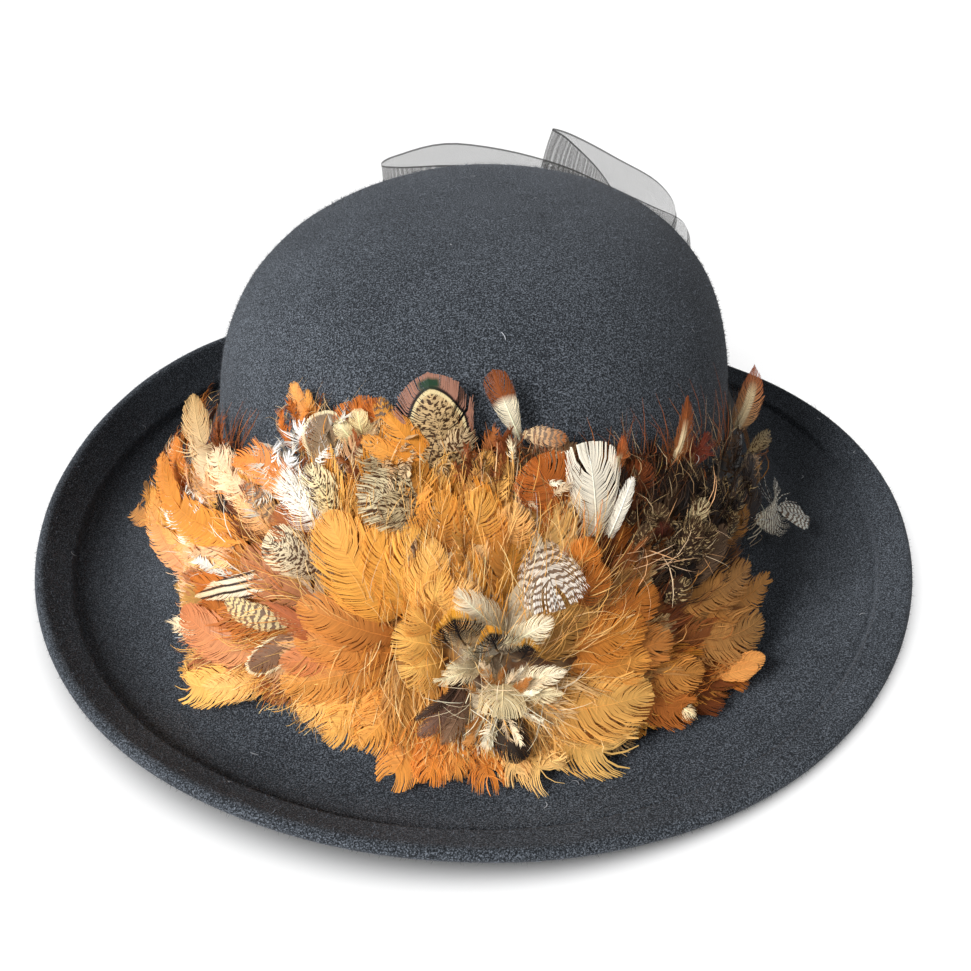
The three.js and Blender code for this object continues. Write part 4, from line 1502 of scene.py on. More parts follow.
    def build(self, net: Material, crushed: Material) -> list[Piece]:
        """Builds the band, the knot and both loops.

        Args:
            net: Finish of the open braid.
            crushed: Finish of the crushed braid.

        Returns:
            The pieces.
        """
        pieces = [self.band(crushed), self.knot(crushed)]
        pieces.append(self.loop("braid_loop_left", LOOP_LEFT, net))
        pieces.append(self.loop("braid_loop_right", LOOP_RIGHT, net))
        return pieces


# Feathers


@dataclass(frozen=True)
class Outline:
    """Outline of a vane: its reach to each side at even steps, its tip's bluntness and its barbs' angles.

    The steps run from root to tip; the angles to the shaft, in degrees, are those at the foot and the tip.
    """

    reaches: tuple[float, ...]
    bluntness: float = 7
    slant: tuple[float, float] = (42, 19)


class Cut(Enum):
    """The outlines that the feathers have."""

    OVAL = Outline((0.12, 0.5, 0.84, 1.0, 1.0, 0.98, 0.9, 0.75))
    HACKLE = Outline((0.2, 0.7, 1.0, 0.98, 0.82, 0.6, 0.36, 0.12), slant=(38, 15))
    FAN = Outline((0.1, 0.3, 0.52, 0.72, 0.9, 1.0, 1.0, 0.95), 26, (24, 9))
    SLIM = Outline((0.3, 0.8, 1.0, 1.0, 0.92, 0.76, 0.5, 0.2), slant=(38, 15))
    SPOON = Outline((0.1, 0.35, 0.62, 0.82, 0.95, 1.0, 1.0, 0.96), 9, (48, 26))

    def reach(self, t: np.ndarray) -> np.ndarray:
        """Share of the half width at shares of the length, rounded off at the tip.

        Args:
            t: Shares of the length from root to tip.

        Returns:
            Shares of the half width.
        """
        reaches = self.value.reaches
        rounded = np.sqrt(np.clip(1 - t ** self.value.bluntness, 0, 1))
        return np.interp(t, np.linspace(0, 1, len(reaches)), reaches) * rounded


@dataclass
class Flock:
    """Many feathers of one cut: where each starts on the pad, how it runs, and its colours.

    Every array has a row for each feather. A heading of 0 points up the crown, 90 towards the
    wearer's left and 180 out over the brim; turn is how far it bends on its way.
    """

    angle: np.ndarray
    row: np.ndarray
    heading: np.ndarray
    turn: np.ndarray
    length: np.ndarray
    width: np.ndarray
    lift: np.ndarray
    bow: np.ndarray
    root_tint: np.ndarray
    tip_tint: np.ndarray
    loose: np.ndarray
    roll: np.ndarray
    sink: float = 1.4
    cut: Cut = Cut.OVAL
    barbs: int = 32
    quill: float = 0.45
    shaft: float = 1.25
    droop: float = 0.0

    def size(self) -> int:
        """How many feathers it holds."""
        return len(self.angle)


@dataclass
class Plumage:
    """Grows feathers on the pad's face: a tapered shaft with barbs that part into locks.

    Unevenness, lock pull, lock loft and barb taper are a neat feather's value and what looseness adds.
    """

    pad: PadForm
    seed: int = 23
    barb_shares: tuple[float, ...] = (0.0, 0.34, 0.68, 1.0)
    bare: float = 0.07
    shaft_steps: int = 8
    shingle: float = 0.1
    camber: float = 0.16
    depth: float = 1.06
    overlap: float = 0.58
    slant_limits: tuple[float, float] = (7, 75)
    bend_steps: int = 24
    rise_power: float = 0.6
    droop_rate: float = 8
    unevenness: tuple[float, float] = (0.04, 0.18)
    lock_sizes: tuple[int, int] = (3, 8)
    lock_turn: float = 8
    lock_turn_least: float = 0.1
    flat_share: float = 0.12
    fan_power: float = 0.94
    sweep_power: float = 1.4
    gap_limit: float = 2
    lock_pull: tuple[float, float] = (0.04, 0.8)
    lock_loft: tuple[float, float] = (0.15, 2)
    loft_height: float = 0.5
    flutter: float = 0.55
    barb_width: float = 1.15
    barb_taper: tuple[float, float] = (0.22, 1.5)
    taper_limit: float = 0.95
    thinning: float = 0.5
    tint_power: float = 1.1
    paler: tuple[float, float] = (0.9, 0.22)
    barb_shade: float = 0.045
    seed_span: float = 10
    shaft_end: float = 0.94
    shaft_taper: float = 0.82
    shaft_turns: tuple[float, ...] = (90, 210, 330)
    rng: np.random.Generator = field(init=False)

    def __post_init__(self) -> None:
        """Starts the one stream of random numbers that all feathers draw from."""
        self.rng = np.random.default_rng(self.seed)

    def spine(self, flock: Flock, t: np.ndarray) -> tuple[np.ndarray, np.ndarray, np.ndarray, np.ndarray]:
        """Points of each shaft with the ways along it, out of the vane and to its side.

        Args:
            flock: The feathers.
            t: Shares of the length.

        Returns:
            Points, ways along, ways out and side ways, each with a row for a feather and a column for t.
        """
        tall, radius = self.pad.spans(flock.angle)
        fine = self.bend_steps
        s = (np.arange(fine) + 0.5) / fine
        heading = np.radians(flock.heading[:, None] + flock.turn[:, None] * s)
        step = flock.length[:, None] / fine
        start = np.zeros((flock.size(), 1))
        across = np.concatenate([start, np.cumsum(step * np.sin(heading), axis=1)], 1)
        down = np.concatenate([start, np.cumsum(-step * np.cos(heading), axis=1)], 1)
        place = t * fine
        low = np.clip(place.astype(int), 0, fine - 1)
        share = place - low
        across = across[:, low] * (1 - share) + across[:, low + 1] * share
        down = down[:, low] * (1 - share) + down[:, low + 1] * share
        degrees = flock.angle[:, None] + np.degrees(across / radius[:, None])
        row = flock.row[:, None] + down / tall[:, None]
        point, out = self.pad.frame(degrees, row)
        rise = -flock.sink + (flock.lift[:, None] + flock.sink) * t ** self.rise_power
        rise = rise + flock.bow[:, None] * np.sin(np.pi * t)
        rise = rise - flock.droop * np.clip((row - 1) * self.droop_rate, 0, 1)
        point = point + out * rise[..., None]
        along = unit(np.gradient(point, axis=1))
        side = unit(np.cross(along, out))
        out = np.cross(side, along)
        roll = np.radians(flock.roll)[:, None, None]
        sin, cos = np.sin(roll), np.cos(roll)
        return point, along, out * cos - side * sin, side * cos + out * sin

    def grow(self, soup: Soup, flock: Flock) -> None:
        """Adds every feather of a flock to a piece.

        Args:
            soup: The piece's triangles.
            flock: The feathers.
        """
        feathers, barbs = flock.size(), flock.barbs
        t = self.bare + (1 - self.bare) * (np.arange(barbs) + 0.5) / barbs
        point, along, out, side = self.spine(flock, t)
        sign = np.array([1.0, -1.0])[None, :, None]
        uneven = self.unevenness[0] + self.unevenness[1] * flock.loose[:, None, None]
        jitter = 1 + self.rng.normal(size=(feathers, 2, barbs)) * uneven
        locks, centre = self.locks(feathers, barbs)
        slant = np.radians(np.interp(t, (0, 1), flock.cut.value.slant))[None, None, :]
        lock_turn = self.lock_turn_least + flock.loose[:, None, None]
        slant = slant + np.radians(self.lock_turn) * locks[..., 0] * lock_turn
        slant = np.clip(slant, *np.radians(self.slant_limits))
        length = flock.length[:, None, None]
        half_width = flock.width[:, None, None] / 2
        ahead = half_width * flock.cut.reach(t) / np.tan(slant) / length
        meet = t + (1 - t) * (1 - np.exp(-ahead / (1 - t)))
        pitch = (flock.length * (1 - self.bare) / barbs)[:, None, None]
        loose = flock.loose[:, None, None, None]
        u = np.array(self.barb_shares)[None, None, None, :]
        fanned = np.sin(u * np.pi / 2) ** self.fan_power
        fanned = self.flat_share * u + (1 - self.flat_share) * fanned
        even = half_width * flock.cut.reach(meet)
        lateral = (even * jitter)[..., None] * fanned
        forward = ((meet - t) * length)[..., None] * u ** self.sweep_power
        across, gap = self.spacing((t * length)[..., None] + forward, even[..., None] * fanned)
        gap = np.minimum(gap, self.gap_limit * pitch[..., None])
        pull = self.lock_pull[0] + self.lock_pull[1] * loose
        forward = forward - (centre * pitch)[..., None] * pull * u ** 2
        loft = (self.loft_height * locks[..., 1])[..., None] * (self.lock_loft[0] + self.lock_loft[1] * loose)
        flutter = self.flutter * self.rng.normal(size=(feathers, 2, barbs, 1)) * loose
        sag = self.camber * lateral ** 2 / flock.width[:, None, None, None]
        height = (loft + flutter) * u ** 2 - sag
        p, a, o, s = (v[:, None, :, None, :] for v in (point, along, out, side))
        middle = (p + s * (sign[..., None] * lateral)[..., None] + a * forward[..., None]
                  + o * height[..., None])
        taper = np.minimum(self.barb_taper[0] + self.barb_taper[1] * loose, self.taper_limit)
        taper = self.barb_width - taper * u ** 4
        spread = (self.overlap * gap * taper * (1 - self.thinning * loose * u))[..., None]
        half = a * across[0][..., None] + s * (sign[..., None] * across[1])[..., None] + o * self.shingle
        half = half * spread
        strip = np.stack([middle - half, middle + half], axis=4)
        self.add_barbs(soup, flock, strip, lateral * sign[..., None], forward, t)
        self.add_shafts(soup, flock)

    @staticmethod
    def spacing(run: np.ndarray, lateral: np.ndarray) -> tuple[tuple[np.ndarray, np.ndarray], np.ndarray]:
        """How the barbs lie beside each other in the plane of their vane.

        Args:
            run: How far each step of each barb lies from the feather's root along the shaft.
            lateral: How far it lies from the shaft.

        Returns:
            The way across each barb, as shares along the shaft and sideways, and the gap to the next barb.
        """
        run_on, side_on = np.gradient(run, axis=3), np.gradient(lateral, axis=3)
        size = np.hypot(run_on, side_on) + TINY
        across = (side_on / size, -run_on / size)
        gap = np.abs(np.gradient(run, axis=2) * across[0] + np.gradient(lateral, axis=2) * across[1])
        return across, gap

    def locks(self, feathers: int, barbs: int) -> tuple[np.ndarray, np.ndarray]:
        """Parts each side's barbs into locks.

        Args:
            feathers: How many feathers.
            barbs: Barbs to a side.

        Returns:
            Two random numbers shared by a lock, and each barb's place from its lock's middle in barbs.
        """
        size = self.rng.integers(*self.lock_sizes, size=(feathers, 2, 1))
        start = self.rng.integers(0, self.lock_sizes[1], size=(feathers, 2, 1))
        index = np.arange(barbs)[None, None, :] + start
        lock = index // size
        table = self.rng.normal(size=(feathers, 2, barbs, 2))
        shared = np.take_along_axis(table, np.minimum(lock, barbs - 1)[..., None], axis=2)
        return np.broadcast_to(shared, (feathers, 2, barbs, 2)), index - (lock * size + (size - 1) / 2)

    def tints(self, flock: Flock, share: np.ndarray) -> np.ndarray:
        """Colours that go from each feather's root tint to its tip tint, for shares of its length.

        Args:
            flock: The feathers.
            share: Shares of the length, with a first axis for the feathers.

        Returns:
            Linear colours.
        """
        shape = (flock.size(),) + (1,) * (share.ndim - 1) + (3,)
        root, tip = flock.root_tint.reshape(shape), flock.tip_tint.reshape(shape)
        return (root + (tip - root) * (np.clip(share, 0, 1) ** self.tint_power)[..., None]) ** self.depth

    def add_barbs(self, soup: Soup, flock: Flock, strip: np.ndarray, lateral: np.ndarray,
                  forward: np.ndarray, t: np.ndarray) -> None:
        """Adds the barbs' strips with their tints and places.

        Args:
            soup: The piece's triangles.
            flock: The feathers.
            strip: Both sides of each barb at each of its steps.
            lateral: Signed distance of each step from the shaft.
            forward: How far each step lies ahead of the barb's root.
            t: Share of the length at each barb's root.
        """
        feathers, _, barbs, steps = lateral.shape
        count = feathers * 2 * barbs
        full = np.zeros((feathers, 2, barbs, steps, 2))
        base = (t[None, None, :, None, None] * flock.length[:, None, None, None, None]
                + np.array([-0.5, 0.5]) * (flock.length / barbs)[:, None, None, None, None])
        seed = self.rng.random((feathers, 1, 1, 1, 1)) * self.seed_span
        barb = np.stack([base + full, lateral[..., None] + full, seed + full], axis=-1)
        true_along = (t[None, None, :, None] * flock.length[:, None, None, None] + forward)[..., None]
        whole = flock.length[:, None, None, None, None]
        wide = flock.width[:, None, None, None, None] / 2
        share = true_along / whole + full
        plan = np.stack([share, lateral[..., None] / wide + full, true_along + full], axis=-1)
        tint = self.tints(flock, share)
        paler = self.paler[0] + self.paler[1] * np.abs(plan[..., 1:2])
        shade = (1 + self.barb_shade * self.rng.normal(size=(feathers, 2, barbs, 1, 1, 1))) * paler
        faces = copies(ring_faces(steps, 2, closed=False), count, steps * 2)
        soup.add(strip, faces, tint=tint * shade, barb=barb, plan=plan)

    def add_shafts(self, soup: Soup, flock: Flock) -> None:
        """Adds a tapered three-sided shaft to each feather.

        Args:
            soup: The piece's triangles.
            flock: The feathers.
        """
        feathers, steps, sides = flock.size(), self.shaft_steps, len(self.shaft_turns)
        t = np.linspace(0, self.shaft_end, steps)
        point, _, out, side = self.spine(flock, t)
        radius = (flock.quill * (1 - self.shaft_taper * t))[None, :, None]
        turns = np.radians(self.shaft_turns)
        ring = np.stack([point + (side * math.cos(k) + out * math.sin(k)) * radius for k in turns], axis=2)
        faces = copies(ring_faces(steps, sides), feathers, steps * sides)
        zero = np.zeros(ring.shape[:-1])
        share = t[None, :, None] + zero
        run = share * flock.length[:, None, None]
        barb, plan = np.stack([run, zero, zero], axis=-1), np.stack([share, zero, run], axis=-1)
        tint = np.clip(self.tints(flock, share) * flock.shaft, 0, BRIGHTEST)
        soup.add(ring, faces, tint=tint, barb=barb, plan=plan)


class Palette(Enum):
    """Colours of one kind of feather, from its deep ones to its pale ones."""

    GOLD = ("c4822f", "d3923c", "dd9f48", "d89646", "e6b05e")
    PALE_GOLD = ("dba55a", "e6b873", "eec68c", "e2ac64")
    ORANGE = ("bd6c2a", "cc7d34", "d88a3e", "c87630")
    RUST = ("7a4220", "8f5028", "a06030", "864a26")
    BROWN_GOLD = ("8e5a2c", "a56c36", "b67e42", "c08b50")
    SALMON = ("b8744a", "c68458", "d0936a")
    PEACH = ("dca878", "e8bb8e", "efcba6")
    CREAM = ("dcc3a0", "e9d5b4", "f0e2c8")
    WHITE = ("e4dccb", "efe9dc", "f8f4ea")
    EARTH = ("33221a", "45301f", "57402c", "251a14")
    STRAW = ("b8946a", "ccab7c", "dcc096")

    def pick(self, rng: np.random.Generator, count: int) -> np.ndarray:
        """Colours drawn from the palette, each a little darker or lighter, one a row.

        Args:
            rng: The random numbers to draw from.
            count: How many colours.

        Returns:
            Linear colours.
        """
        darkest, lightest = 0.88, 1.1
        table = colours(*self.value)
        return table[rng.integers(0, len(table), count)] * rng.uniform(darkest, lightest, (count, 1))


@dataclass(frozen=True)
class ColourZone:
    """A round patch of the enlarged photograph where a palette is common."""

    x: float
    y: float
    reach: float
    palette: Palette
    weight: float = 1.0


ZONES = (
    ColourZone(150, 480, 160, Palette.GOLD), ColourZone(330, 420, 130, Palette.PEACH, 0.8),
    ColourZone(230, 330, 90, Palette.ORANGE), ColourZone(500, 430, 90, Palette.ORANGE, 0.9),
    ColourZone(380, 560, 120, Palette.PEACH), ColourZone(300, 640, 120, Palette.GOLD, 1.2),
    ColourZone(200, 800, 120, Palette.PEACH), ColourZone(330, 760, 100, Palette.WHITE, 0.5),
    ColourZone(350, 960, 110, Palette.SALMON, 1.2), ColourZone(330, 1120, 120, Palette.PALE_GOLD),
    ColourZone(600, 960, 110, Palette.ORANGE, 0.7), ColourZone(650, 640, 70, Palette.RUST),
    ColourZone(700, 1040, 110, Palette.SALMON, 0.8), ColourZone(850, 1150, 200, Palette.GOLD, 1.4),
    ColourZone(700, 1300, 160, Palette.PALE_GOLD, 1.2), ColourZone(950, 1380, 140, Palette.GOLD),
    ColourZone(1130, 1450, 150, Palette.ORANGE, 1.5), ColourZone(980, 760, 200, Palette.GOLD, 2),
    ColourZone(700, 480, 90, Palette.WHITE, 0.8), ColourZone(900, 460, 120, Palette.STRAW),
    # The small rust zone at (1180, 560) darkens the hackles there: painted shadow
    ColourZone(1120, 650, 110, Palette.GOLD, 1.4), ColourZone(1180, 560, 60, Palette.RUST, 0.6),
    ColourZone(1350, 600, 120, Palette.PALE_GOLD, 1.3), ColourZone(1250, 800, 150, Palette.PALE_GOLD, 1.5),
    ColourZone(1400, 380, 110, Palette.PEACH, 0.9), ColourZone(1450, 700, 90, Palette.PEACH),
    ColourZone(1530, 760, 90, Palette.CREAM, 0.6), ColourZone(1300, 1000, 120, Palette.STRAW, 0.7),
    ColourZone(1330, 1180, 90, Palette.CREAM), ColourZone(1200, 1280, 100, Palette.BROWN_GOLD),
    ColourZone(1400, 1480, 140, Palette.PALE_GOLD), ColourZone(1650, 740, 90, Palette.ORANGE),
    ColourZone(1700, 900, 120, Palette.RUST, 1.1), ColourZone(1640, 1060, 120, Palette.BROWN_GOLD, 1.2),
    ColourZone(1650, 1280, 170, Palette.PALE_GOLD, 1.8), ColourZone(1820, 1200, 120, Palette.GOLD),
    ColourZone(1930, 1180, 100, Palette.RUST, 1.1), ColourZone(2060, 1180, 110, Palette.ORANGE),
    ColourZone(1900, 1000, 130, Palette.RUST, 1.2), ColourZone(2080, 1040, 120, Palette.BROWN_GOLD, 1.4),
    ColourZone(2220, 930, 140, Palette.BROWN_GOLD, 1.6), ColourZone(2000, 800, 110, Palette.EARTH, 1.2),
    ColourZone(1900, 600, 150, Palette.EARTH, 2.4), ColourZone(2080, 640, 120, Palette.EARTH, 2),
    ColourZone(1750, 420, 120, Palette.EARTH, 1.4), ColourZone(2180, 560, 90, Palette.EARTH, 1.4),
)
# Where the feathers end on the crown and over the brim in the enlarged photograph
TOP_EDGE = (
    (190, 290), (300, 350), (400, 410), (500, 400), (600, 440), (640, 350), (700, 260), (800, 200),
    (900, 180), (1000, 240), (1190, 260), (1250, 370), (1394, 280), (1500, 300), (1600, 320), (1700, 330),
    (1800, 300), (1900, 330), (2000, 320), (2100, 360), (2200, 440), (2260, 540),
)
HEM_EDGE = (
    (115, 430), (105, 560), (160, 710), (215, 860), (220, 960), (215, 1080), (240, 1145), (350, 1170),
    (500, 1235), (600, 1285), (700, 1345), (850, 1380), (960, 1400), (1000, 1460), (1130, 1490),
    (1214, 1500), (1344, 1485), (1494, 1460), (1594, 1460), (1694, 1410), (1874, 1365), (1974, 1290),
    (2094, 1270), (2194, 1190), (2264, 1160), (2320, 1080), (2290, 960), (2310, 800), (2270, 700),
    (2260, 600),
)


@dataclass(frozen=True)
class Plume:
    """A feather set one by one: where it starts and ends, its size, its colours and its cut.

    Root and tip are spots of the enlarged photograph, or the pad's angle and row where it is on_pad. Node
    is the solid that it replaces, if any.
    """

    name: str
    root: tuple[float, float]
    tip: tuple[float, float]
    width: float
    lift: float
    root_colour: str
    tip_colour: str
    marking: Marking = Marking.PLAIN
    cut: Cut = Cut.OVAL
    loose: float = 0.2
    bend: float = 0.0
    bow: float = 1.0
    node: str = ""
    facing: float = 0.4
    on_pad: bool = False
    shaft: float = 1.3
    faced_at: tuple[float, float, float] = (0.3, 0.6, 0.9)


PLUMES = (
    Plume("pheasant_front", (1232, 480), (1126, 45), 20, 5.5, "ad8d60", "cdb184", Marking.WINDOW,
          Cut.SPOON, 0.02, node="feather_pheasant_front"),
    Plume("pheasant_left", (805, 790), (555, 645), 13, 6.5, "7a5636", "efe0bc", Marking.SPECKLED,
          Cut.SPOON, 0.05, node="feather_pheasant_left"),
    Plume("barred_left", (575, 785), (310, 855), 7, 7, "efe4cf", "d8c096", Marking.STRIPED, Cut.SLIM,
          0.05, bow=1.5, node="feather_barred_left"),
    Plume("salmon_left", (500, 1085), (255, 900), 13, 6, "d99866", "c47c50", loose=0.03, bend=18, bow=1.5,
          node="feather_salmon_left"),
    Plume("gold_front", (1025, 970), (765, 550), 19, 5.5, "dd9a40", "e6aa56", loose=0.06, bow=2,
          node="feather_gold_front"),
    Plume("gold_left", (-124, 0.38), (-166, 0.3), 11, 7, "dc9440", "d08a3c", cut=Cut.SLIM, bend=24,
          loose=0.06, bow=3, node="feather_gold_left", on_pad=True),
    Plume("buff_left", (300, 480), (322, 125), 10, 8, "f0dcb8", "dcb67c", bend=-10, loose=0.2,
          node="feather_buff_left", facing=0.9),
    Plume("rust_front", (1655, 590), (1500, 365), 18, 5, "a8612c", "b9682c", cut=Cut.SPOON, loose=0.1,
          node="feather_rust_front"),
    Plume("white_fan", (1755, 705), (1690, 322), 14, 7, "d8ccb4", "efe8d8", cut=Cut.FAN, loose=0.08,
          node="feather_white_fan"),
    Plume("barred_front", (1515, 630), (1590, 915), 17, 6, "dccbb2", "e8e2da", Marking.BARRED, Cut.FAN,
          0.2, bow=1.5, node="feather_barred_front"),
    Plume("white_top", (1475, 300), (1352, 38), 7, 5, "e8dcc0", "efe4c8", Marking.DARK_TIP, Cut.FAN,
          0.12, node="feather_white_top"),
    # The near-white colours of barred_right are painted light that makes up for the crown's shadow over it
    Plume("barred_right", (-27, 0.62), (-12, 1.2), 14, 6, "f6eed8", "fdf8ec", Marking.BARRED, Cut.FAN,
          0.12, node="feather_barred_right", on_pad=True),
    Plume("rust_over", (745, 700), (580, 560), 11, 5.5, "7e3f1a", "a9632f"),
    Plume("peach_edge", (-140, 0.66), (-168, 0.56), 9, 5, "dfa27c", "dd9c4c", bend=16, on_pad=True),
    Plume("peach_mid", (520, 700), (160, 600), 8, 5.2, "edc08c", "e6a85c", cut=Cut.SLIM, bend=10),
    Plume("orange_a", (280, 560), (150, 330), 9, 4.5, "c97a34", "dd9448", loose=0.3),
    Plume("orange_b", (240, 480), (215, 285), 7, 4.5, "c06a28", "d98a40", loose=0.3),
    Plume("orange_c", (230, 560), (85, 440), 6, 4.5, "d08a44", "b98a58", loose=0.5),
    Plume("fluff_a", (470, 570), (350, 340), 10, 4.5, "efc8a0", "f2d8b4", loose=0.8),
    Plume("fluff_b", (520, 600), (400, 390), 9, 5, "efc298", "f0cba4", loose=0.8),
    Plume("fluff_c", (560, 640), (440, 500), 8, 5, "e8a868", "edc08c", loose=0.5),
    Plume("ragged_a", (660, 540), (445, 370), 10, 6.5, "e19a58", "dd8840", loose=0.35, bend=-20),
    Plume("ragged_b", (650, 500), (575, 385), 8, 6.5, "e8a868", "d98a44", loose=0.4),
    Plume("barred_small", (580, 610), (480, 450), 6, 6.5, "dcb888", "a8602c", Marking.BARRED),
    Plume("down_a", (730, 600), (620, 410), 11, 6, "f1e9dd", "f6f0e6", loose=1.1),
    Plume("down_b", (745, 640), (660, 480), 10, 6.5, "f1e9dd", "f6f0e6", loose=1.1),
    Plume("down_c", (720, 540), (590, 440), 9, 6, "e6dcd0", "f6f0e6", loose=1.2),
    Plume("quilled", (775, 380), (748, 205), 13, 5.5, "9a8060", "86705a", Marking.EDGED, loose=0.05),
    Plume("rust_petal", (885, 290), (855, 150), 13, 4.5, "a85418", "c87830"),
    Plume("rust_petal_b", (935, 280), (925, 140), 9, 4.5, "9a4a16", "c8742c", loose=0.3),
    Plume("cream_petal", (882, 290), (878, 192), 6, 6, "e0c88c", "f2e2b2"),
    Plume("cream_petal_b", (852, 305), (812, 238), 5, 6.5, "e8d49a", "f2e6c0"),
    Plume("wedge_a", (690, 250), (632, 92), 5, 4, "c87a34", "e6a85c"),
    Plume("wedge_b", (700, 250), (690, 100), 3, 4, "b8742c", "e0a04c", loose=0.4),
    Plume("flecked_top", (985, 330), (960, 130), 6, 5, "b8742c", "d9a04c", Marking.BARRED, loose=0.5),
    Plume("orange_d", (1168, 430), (985, 212), 8, 6.5, "cf8430", "d9963e", loose=0.15),
    Plume("orange_e", (1155, 410), (905, 295), 6, 6.5, "d38c3c", "dd9c48", loose=0.2),
    Plume("speckled_a", (1165, 480), (885, 500), 16, 6, "c9b68c", "d9cba8", Marking.SPECKLED, loose=0.3),
    Plume("speckled_b", (1150, 540), (960, 560), 11, 6, "b8a078", "cdb992", Marking.SPECKLED, loose=0.4),
    Plume("speckled_c", (1030, 430), (880, 320), 9, 5.5, "4a3a28", "d9c49a", Marking.SPECKLED, loose=0.6),
    Plume("blotched", (800, 570), (715, 385), 9, 6.5, "eed9a8", "f0dfb4", Marking.SPECKLED, loose=0.15),
    Plume("blotched_b", (800, 620), (765, 450), 6, 6.5, "e6c88c", "eed9a8", Marking.SPECKLED, loose=0.2),
    Plume("gold_a", (1045, 965), (935, 600), 13, 4.8, "d2903a", "dda048"),
    Plume("gold_b", (1050, 960), (1065, 590), 14, 5, "d8983e", "e2aa54"),
    Plume("gold_c", (1080, 960), (1150, 640), 12, 4.8, "dda24c", "e8b668"),
    # The dark brown root colour of gold_d is painted shadow over its lower part
    Plume("gold_d", (1160, 780), (1185, 475), 16, 6, "87481a", "e0a048", loose=0.3),
    Plume("gold_e", (1270, 740), (1320, 470), 16, 6, "cf8a3a", "e6b05a", loose=0.35),
    Plume("gold_f", (1400, 710), (1445, 525), 12, 6, "d99a50", "efc07c", loose=0.4),
    Plume("gold_g", (1110, 1000), (1180, 760), 12, 4.8, "e8b868", "e6b25e", loose=0.4),
    Plume("gold_h", (1150, 1000), (1290, 800), 12, 5, "e6b264", "eec07c", loose=0.4),
    Plume("rust_hackle", (835, 1050), (552, 872), 10, 6, "9c5630", "b3683c", cut=Cut.HACKLE),
    Plume("zigzag", (600, 985), (415, 872), 7, 6.5, "e0cc9c", "dcc690", Marking.BARRED, loose=0.1),
    Plume("brown_edged", (650, 1010), (492, 1125), 8, 6.5, "8a664c", "7a5a44", Marking.EDGED),
    Plume("gold_i", (1010, 1040), (660, 885), 13, 5.2, "a8662c", "cc8840"),
    Plume("gold_j", (1010, 1085), (640, 1010), 12, 5, "b4702e", "cf8a44"),
    Plume("gold_o", (1195, 1060), (1000, 1000), 14, 5.5, "d89c48", "eabb68", loose=0.3),
    Plume("gold_p", (1190, 1110), (1020, 1120), 13, 5.5, "dda450", "ecc070", loose=0.3),
    Plume("gold_q", (1180, 1010), (1060, 895), 13, 5.5, "d89a48", "e8b460", loose=0.35),
    Plume("salmon_b", (880, 1070), (590, 1100), 9, 5, "c07444", "c8804c"),
    Plume("gold_k", (1000, 1110), (600, 1175), 14, 5, "b87430", "d49448"),
    Plume("gold_l", (980, 1150), (650, 1285), 14, 4.8, "dd9c4c", "e8b468"),
    Plume("gold_m", (1010, 1180), (745, 1370), 14, 4.6, "d8923c", "e6ae5c", loose=0.3),
    Plume("gold_n", (1060, 1200), (870, 1405), 14, 4.4, "cd8434", "e0a250", loose=0.3),
    Plume("lobe_left", (530, 1110), (215, 1150), 12, 5.5, "dd9c4c", "edbe6c"),
    Plume("lobe_left_b", (560, 1160), (320, 1190), 9, 5, "e0a050", "f0c67c", loose=0.3),
    Plume("cream_edge", (340, 960), (190, 955), 6, 4, "efd2a8", "f2dcb8", loose=0.8),
    Plume("lobe_a", (1120, 1280), (985, 1492), 13, 4.5, "c87a30", "e09a48", loose=0.08),
    Plume("lobe_b", (1180, 1290), (1130, 1505), 12, 4.4, "cd7a2c", "e08e3c", loose=0.3),
    Plume("lobe_c", (1240, 1310), (1225, 1520), 11, 4.2, "c8752a", "e09a4c", loose=0.5),
    Plume("lobe_d", (1330, 1330), (1340, 1515), 11, 4, "b8641e", "db8c3e", loose=0.5),
    Plume("lobe_e", (1400, 1330), (1440, 1490), 10, 4, "d8984a", "efc888", loose=0.4),
    Plume("mauve_a", (1264, 1190), (1100, 1350), 6, 7, "5d4536", "77594a"),
    Plume("mauve_b", (1285, 1215), (1180, 1385), 5, 7, "5d4536", "8a6a50"),
    Plume("mauve_c", (1250, 1180), (1085, 1295), 3, 7, "3a2a22", "4a362a"),
    Plume("cream_a", (1400, 1140), (1380, 1292), 13, 8, "cdb88c", "e0cfa6", cut=Cut.FAN),
    Plume("cream_b", (1420, 1020), (1224, 832), 9, 7, "d9c9a4", "efe3c8", loose=0.4),
    Plume("cream_c", (1400, 1060), (1560, 930), 7, 7, "e0d2ac", "efe3c8", loose=0.5),
    Plume("cream_d", (1380, 1100), (1140, 1155), 5, 7, "d9c49a", "efe0bc", loose=0.7),
    Plume("cream_e", (1410, 1180), (1614, 1115), 6, 7.5, "d8c49c", "efe3c8", loose=0.5),
    Plume("cream_f", (1420, 1210), (1600, 1195), 5, 7, "b09c74", "e6d6b0", loose=0.6),
    Plume("cream_g", (1330, 1120), (1260, 1030), 6, 7.5, "a8987c", "cdbf9c", loose=0.8),
    Plume("cream_h", (1350, 1130), (1190, 1090), 5, 7.5, "b8a480", "e6d8b4", loose=0.7),
    Plume("eye_a", (1256, 1060), (1204, 885), 15, 9.5, "6a6258", "e8aa30", Marking.COLLARED, bow=4),
    Plume("eye_b", (1384, 1085), (1329, 945), 14, 9.5, "6a6258", "e6a42c", Marking.COLLARED, bow=4),
    Plume("eye_c", (1440, 1110), (1480, 990), 11, 9, "6a6258", "c8902c", Marking.COLLARED, bow=4),
    Plume("eye_d", (1364, 1270), (1454, 1435), 10, 7.5, "4a3824", "1a120e", loose=0.1),
    Plume("right_a", (1494, 1290), (1925, 1200), 19, 6.5, "d2974a", "e2b064", loose=0.25),
    Plume("right_b", (1484, 1350), (1884, 1385), 14, 5.5, "dba04c", "efc67c", loose=0.3),
    Plume("right_c", (1424, 1400), (1614, 1500), 12, 5, "dca04c", "f0cc8a", loose=0.3),
    Plume("right_d", (1794, 1180), (2094, 1245), 12, 5, "a4592a", "c47a38", loose=0.3),
